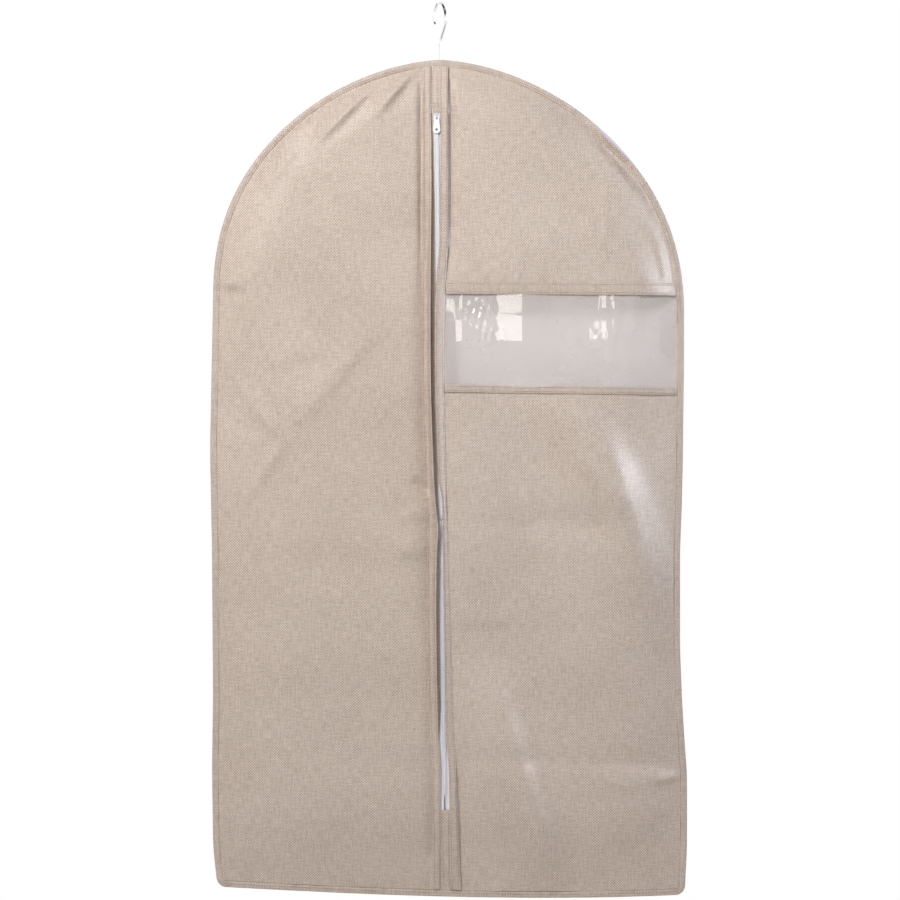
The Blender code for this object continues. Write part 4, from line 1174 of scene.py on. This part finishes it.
def facing_row(side, share, low, high):
    """A line down a facing's outside at a share of its width."""
    z = np.linspace(low, high, 300)
    x, y, thick = facing_at(share, z, side)
    return hung(x, y, z), (0, -1, 0)


def facing_stitching(name, side, low, high):
    """Two rows of stitches down a length of facing."""
    return stitches(name, [facing_row(side, share, low, high) for share in FACING_ROWS])


facing_stitches = in_lengths(facing_stitching, "facing_stitches", FACING_LOW, FACING_HIGH, stands=False)


def hem_row(low, high, slope, share):
    """A line along a window strip's outside."""
    x = np.linspace(right_outer(low) + 0.002, half_width(np.array(low), 0.012, True), 200)
    return front_points(x, low + (high - low) * share + slope * x, LAYER_GAP + FOLD + hem_lift(x)), (0, -1, 0)


hem_rows = [hem_row(*TOP_HEM, 0.18), hem_row(*TOP_HEM, 0.82),
            hem_row(*BOTTOM_HEM, 0.25), hem_row(*BOTTOM_HEM, 0.78)]
window_stitches = stitches("window_stitches", hem_rows)
bend_open(window_stitches)


def tab_row(points):
    """A line of stitches on a tab through points given as (distance from the zip's line, height)."""
    line = evenly(np.array(points, float), 120)
    x = zip_line(line[:, 1]) + line[:, 0]
    return hung(x, -half_depth(x, line[:, 1]) - 0.0002, line[:, 1]), (0, -1, 0)


# The tabs' boxes of stitches: left and right, upper and lower end, and the heights of the cross rows
tab_boxes = [(-0.0046, 0.0018, -0.086, -0.1385, (-0.1385, -0.1280)),
             (-0.0030, 0.0042, -1.030, -1.124, (-1.030, -1.108))]
tab_rows = []
for left, right, high, low, crossings in tab_boxes:
    tab_rows += [tab_row([(x, high), (x, low)]) for x in (left, right)]
    tab_rows += [tab_row([(left, z), (right, z)]) for z in crossings]
tab_stitches = stitches("tab_stitches", tab_rows)
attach(tab_stitches, "bag")


# Floor
# A plain pale studio floor below the hanging bag.
FLOOR_RADIUS, FLOOR_HEIGHT, FLOOR_SIDES = 2.2, -1.45, 64


def flat_sheet(name, corners, finish):
    """One flat face that belongs to the studio, not to the bag."""
    mesh = bpy.data.meshes.new(name)
    mesh.from_pydata(corners, [], [list(range(len(corners)))])
    mesh.materials.append(finish)
    obj = bpy.data.objects.new(name, mesh)
    bpy.context.scene.collection.objects.link(obj)
    return obj


floor_angle = np.linspace(0, 2 * np.pi, FLOOR_SIDES, endpoint=False)
floor_x, floor_y = FLOOR_RADIUS * np.cos(floor_angle), FLOOR_RADIUS * np.sin(floor_angle)
floor_ring = np.stack(np.broadcast_arrays(floor_x, floor_y, FLOOR_HEIGHT), 1)
floor_paint = blank_finish("floor_paint", {"Base Color": (0.85, 0.85, 0.85, 1), "Roughness": 0.8})[0]
flat_sheet("floor", floor_ring.tolist(), floor_paint)

# Light
# A large soft lamp above and in front, to the left, a weak cool one over the right of the arch, one at the
# right that only puts sheen on the right half's cloth, and one near the camera that the pane mirrors. The
# room is even, and white wherever the camera, a mirror or a clear sheet looks at it.
def lamp(name, place, target, wide, high, watts, colour=(1.0, 1.0, 1.0)):
    """A rectangular lamp at a place, turned to face the target."""
    light = bpy.data.lights.new(name, "AREA")
    light.shape = "RECTANGLE"
    light.size = wide
    light.size_y = high
    light.energy = watts
    light.color = colour
    obj = bpy.data.objects.new(name, light)
    bpy.context.scene.collection.objects.link(obj)
    obj.location = place
    aim = [b - a for a, b in zip(place, target)]
    away = math.atan2(math.hypot(aim[0], aim[1]), -aim[2])
    obj.rotation_euler = (away, 0, math.atan2(-aim[0], aim[1]))
    obj.visible_camera = False
    return obj


lamp("key_lamp", (-0.80, -1.72, 0.73), (0.0, 0.0, -0.28), 0.45, 0.7, 46.0)
lamp("dome_lamp", (0.60, -0.60, 0.30), (0.20, 0.0, -0.25), 0.35, 0.35, 1.1, (0.80, 0.87, 1.0))
sheen_lamp = lamp("sheen_lamp", (1.83, -0.94, -0.14), (0.26, 0.0, -0.65), 0.35, 0.35, 135.0,
                  (0.90, 0.91, 1.0))
sheen_lamp.visible_diffuse = False
no_sheen = bpy.data.collections.new("no_sheen_lamp")
sheen_lamp.light_linking.receiver_collection = no_sheen
for number, piece in enumerate([window_sheet, left_upper, left_lower]):
    no_sheen.objects.link(piece)
    no_sheen.collection_objects[number].light_linking.link_state = "EXCLUDE"
lamp("back_lamp", (0.5, 1.9, 1.6), (0.0, 0.1, -0.7), 1.4, 1.0, 75.0)
lamp("window_lamp", (-0.30, -3.0, 0.03), (0.15, 0.0, -0.43), 0.5, 0.5, 3.0)


def dark_card(name, centre, wide, deep):
    """A black card that only mirrors see, for the dark streaks in polished metal."""
    x, y, z = centre
    corners = [(x - wide, y - deep, z), (x + wide, y - deep, z), (x + wide, y + deep, z),
               (x - wide, y + deep, z)]
    obj = flat_sheet(name, corners, card_black)
    obj.visible_camera = False
    obj.visible_diffuse = False
    obj.visible_shadow = False
    obj.visible_transmission = False


ROOM_STRENGTH = 0.18
card_black = blank_finish("card_black", {"Base Color": (0.01, 0.01, 0.01, 1), "Specular IOR Level": 0.0})[0]
dark_card("high_card", (0.5, -0.25, 1.5), 0.45, 0.45)
dark_card("low_card", (0.0, 0.0, -1.43), 4.0, 1.8)
world = bpy.data.worlds.new("room")
world.use_nodes = True
bpy.context.scene.world = world
tree = world.node_tree
path = node(tree, "ShaderNodeLightPath")
mirrored = math_of(tree, "MAXIMUM", path.outputs["Is Glossy Ray"], path.outputs["Is Transmission Ray"])
seen = math_of(tree, "MAXIMUM", path.outputs["Is Camera Ray"], mirrored)
background = tree.nodes["Background"]
tree.links.new(between(tree, seen, ROOM_STRENGTH, 1.0), background.inputs["Strength"])
tree.links.new(tinted(tree, seen, (1.0, 0.96, 0.92), (1, 1, 1)), background.inputs["Color"])

# Camera
# Level with the middle of the bag and straight in front of it, far enough away to show it nearly flat.
camera = bpy.data.cameras.new("camera")
camera_obj = bpy.data.objects.new("camera", camera)
bpy.context.scene.collection.objects.link(camera_obj)
CAMERA_DISTANCE, FRAME_WIDTH, SENSOR = 5.0, 1.1484, 36.0
camera.sensor_width = SENSOR
camera.lens = SENSOR * CAMERA_DISTANCE / FRAME_WIDTH
camera_obj.location = (0.0124, -CAMERA_DISTANCE, -0.5694)
camera_obj.rotation_euler = (math.pi / 2, 0, 0)
bpy.context.scene.camera = camera_obj
bpy.context.scene.view_settings.view_transform = "Standard"
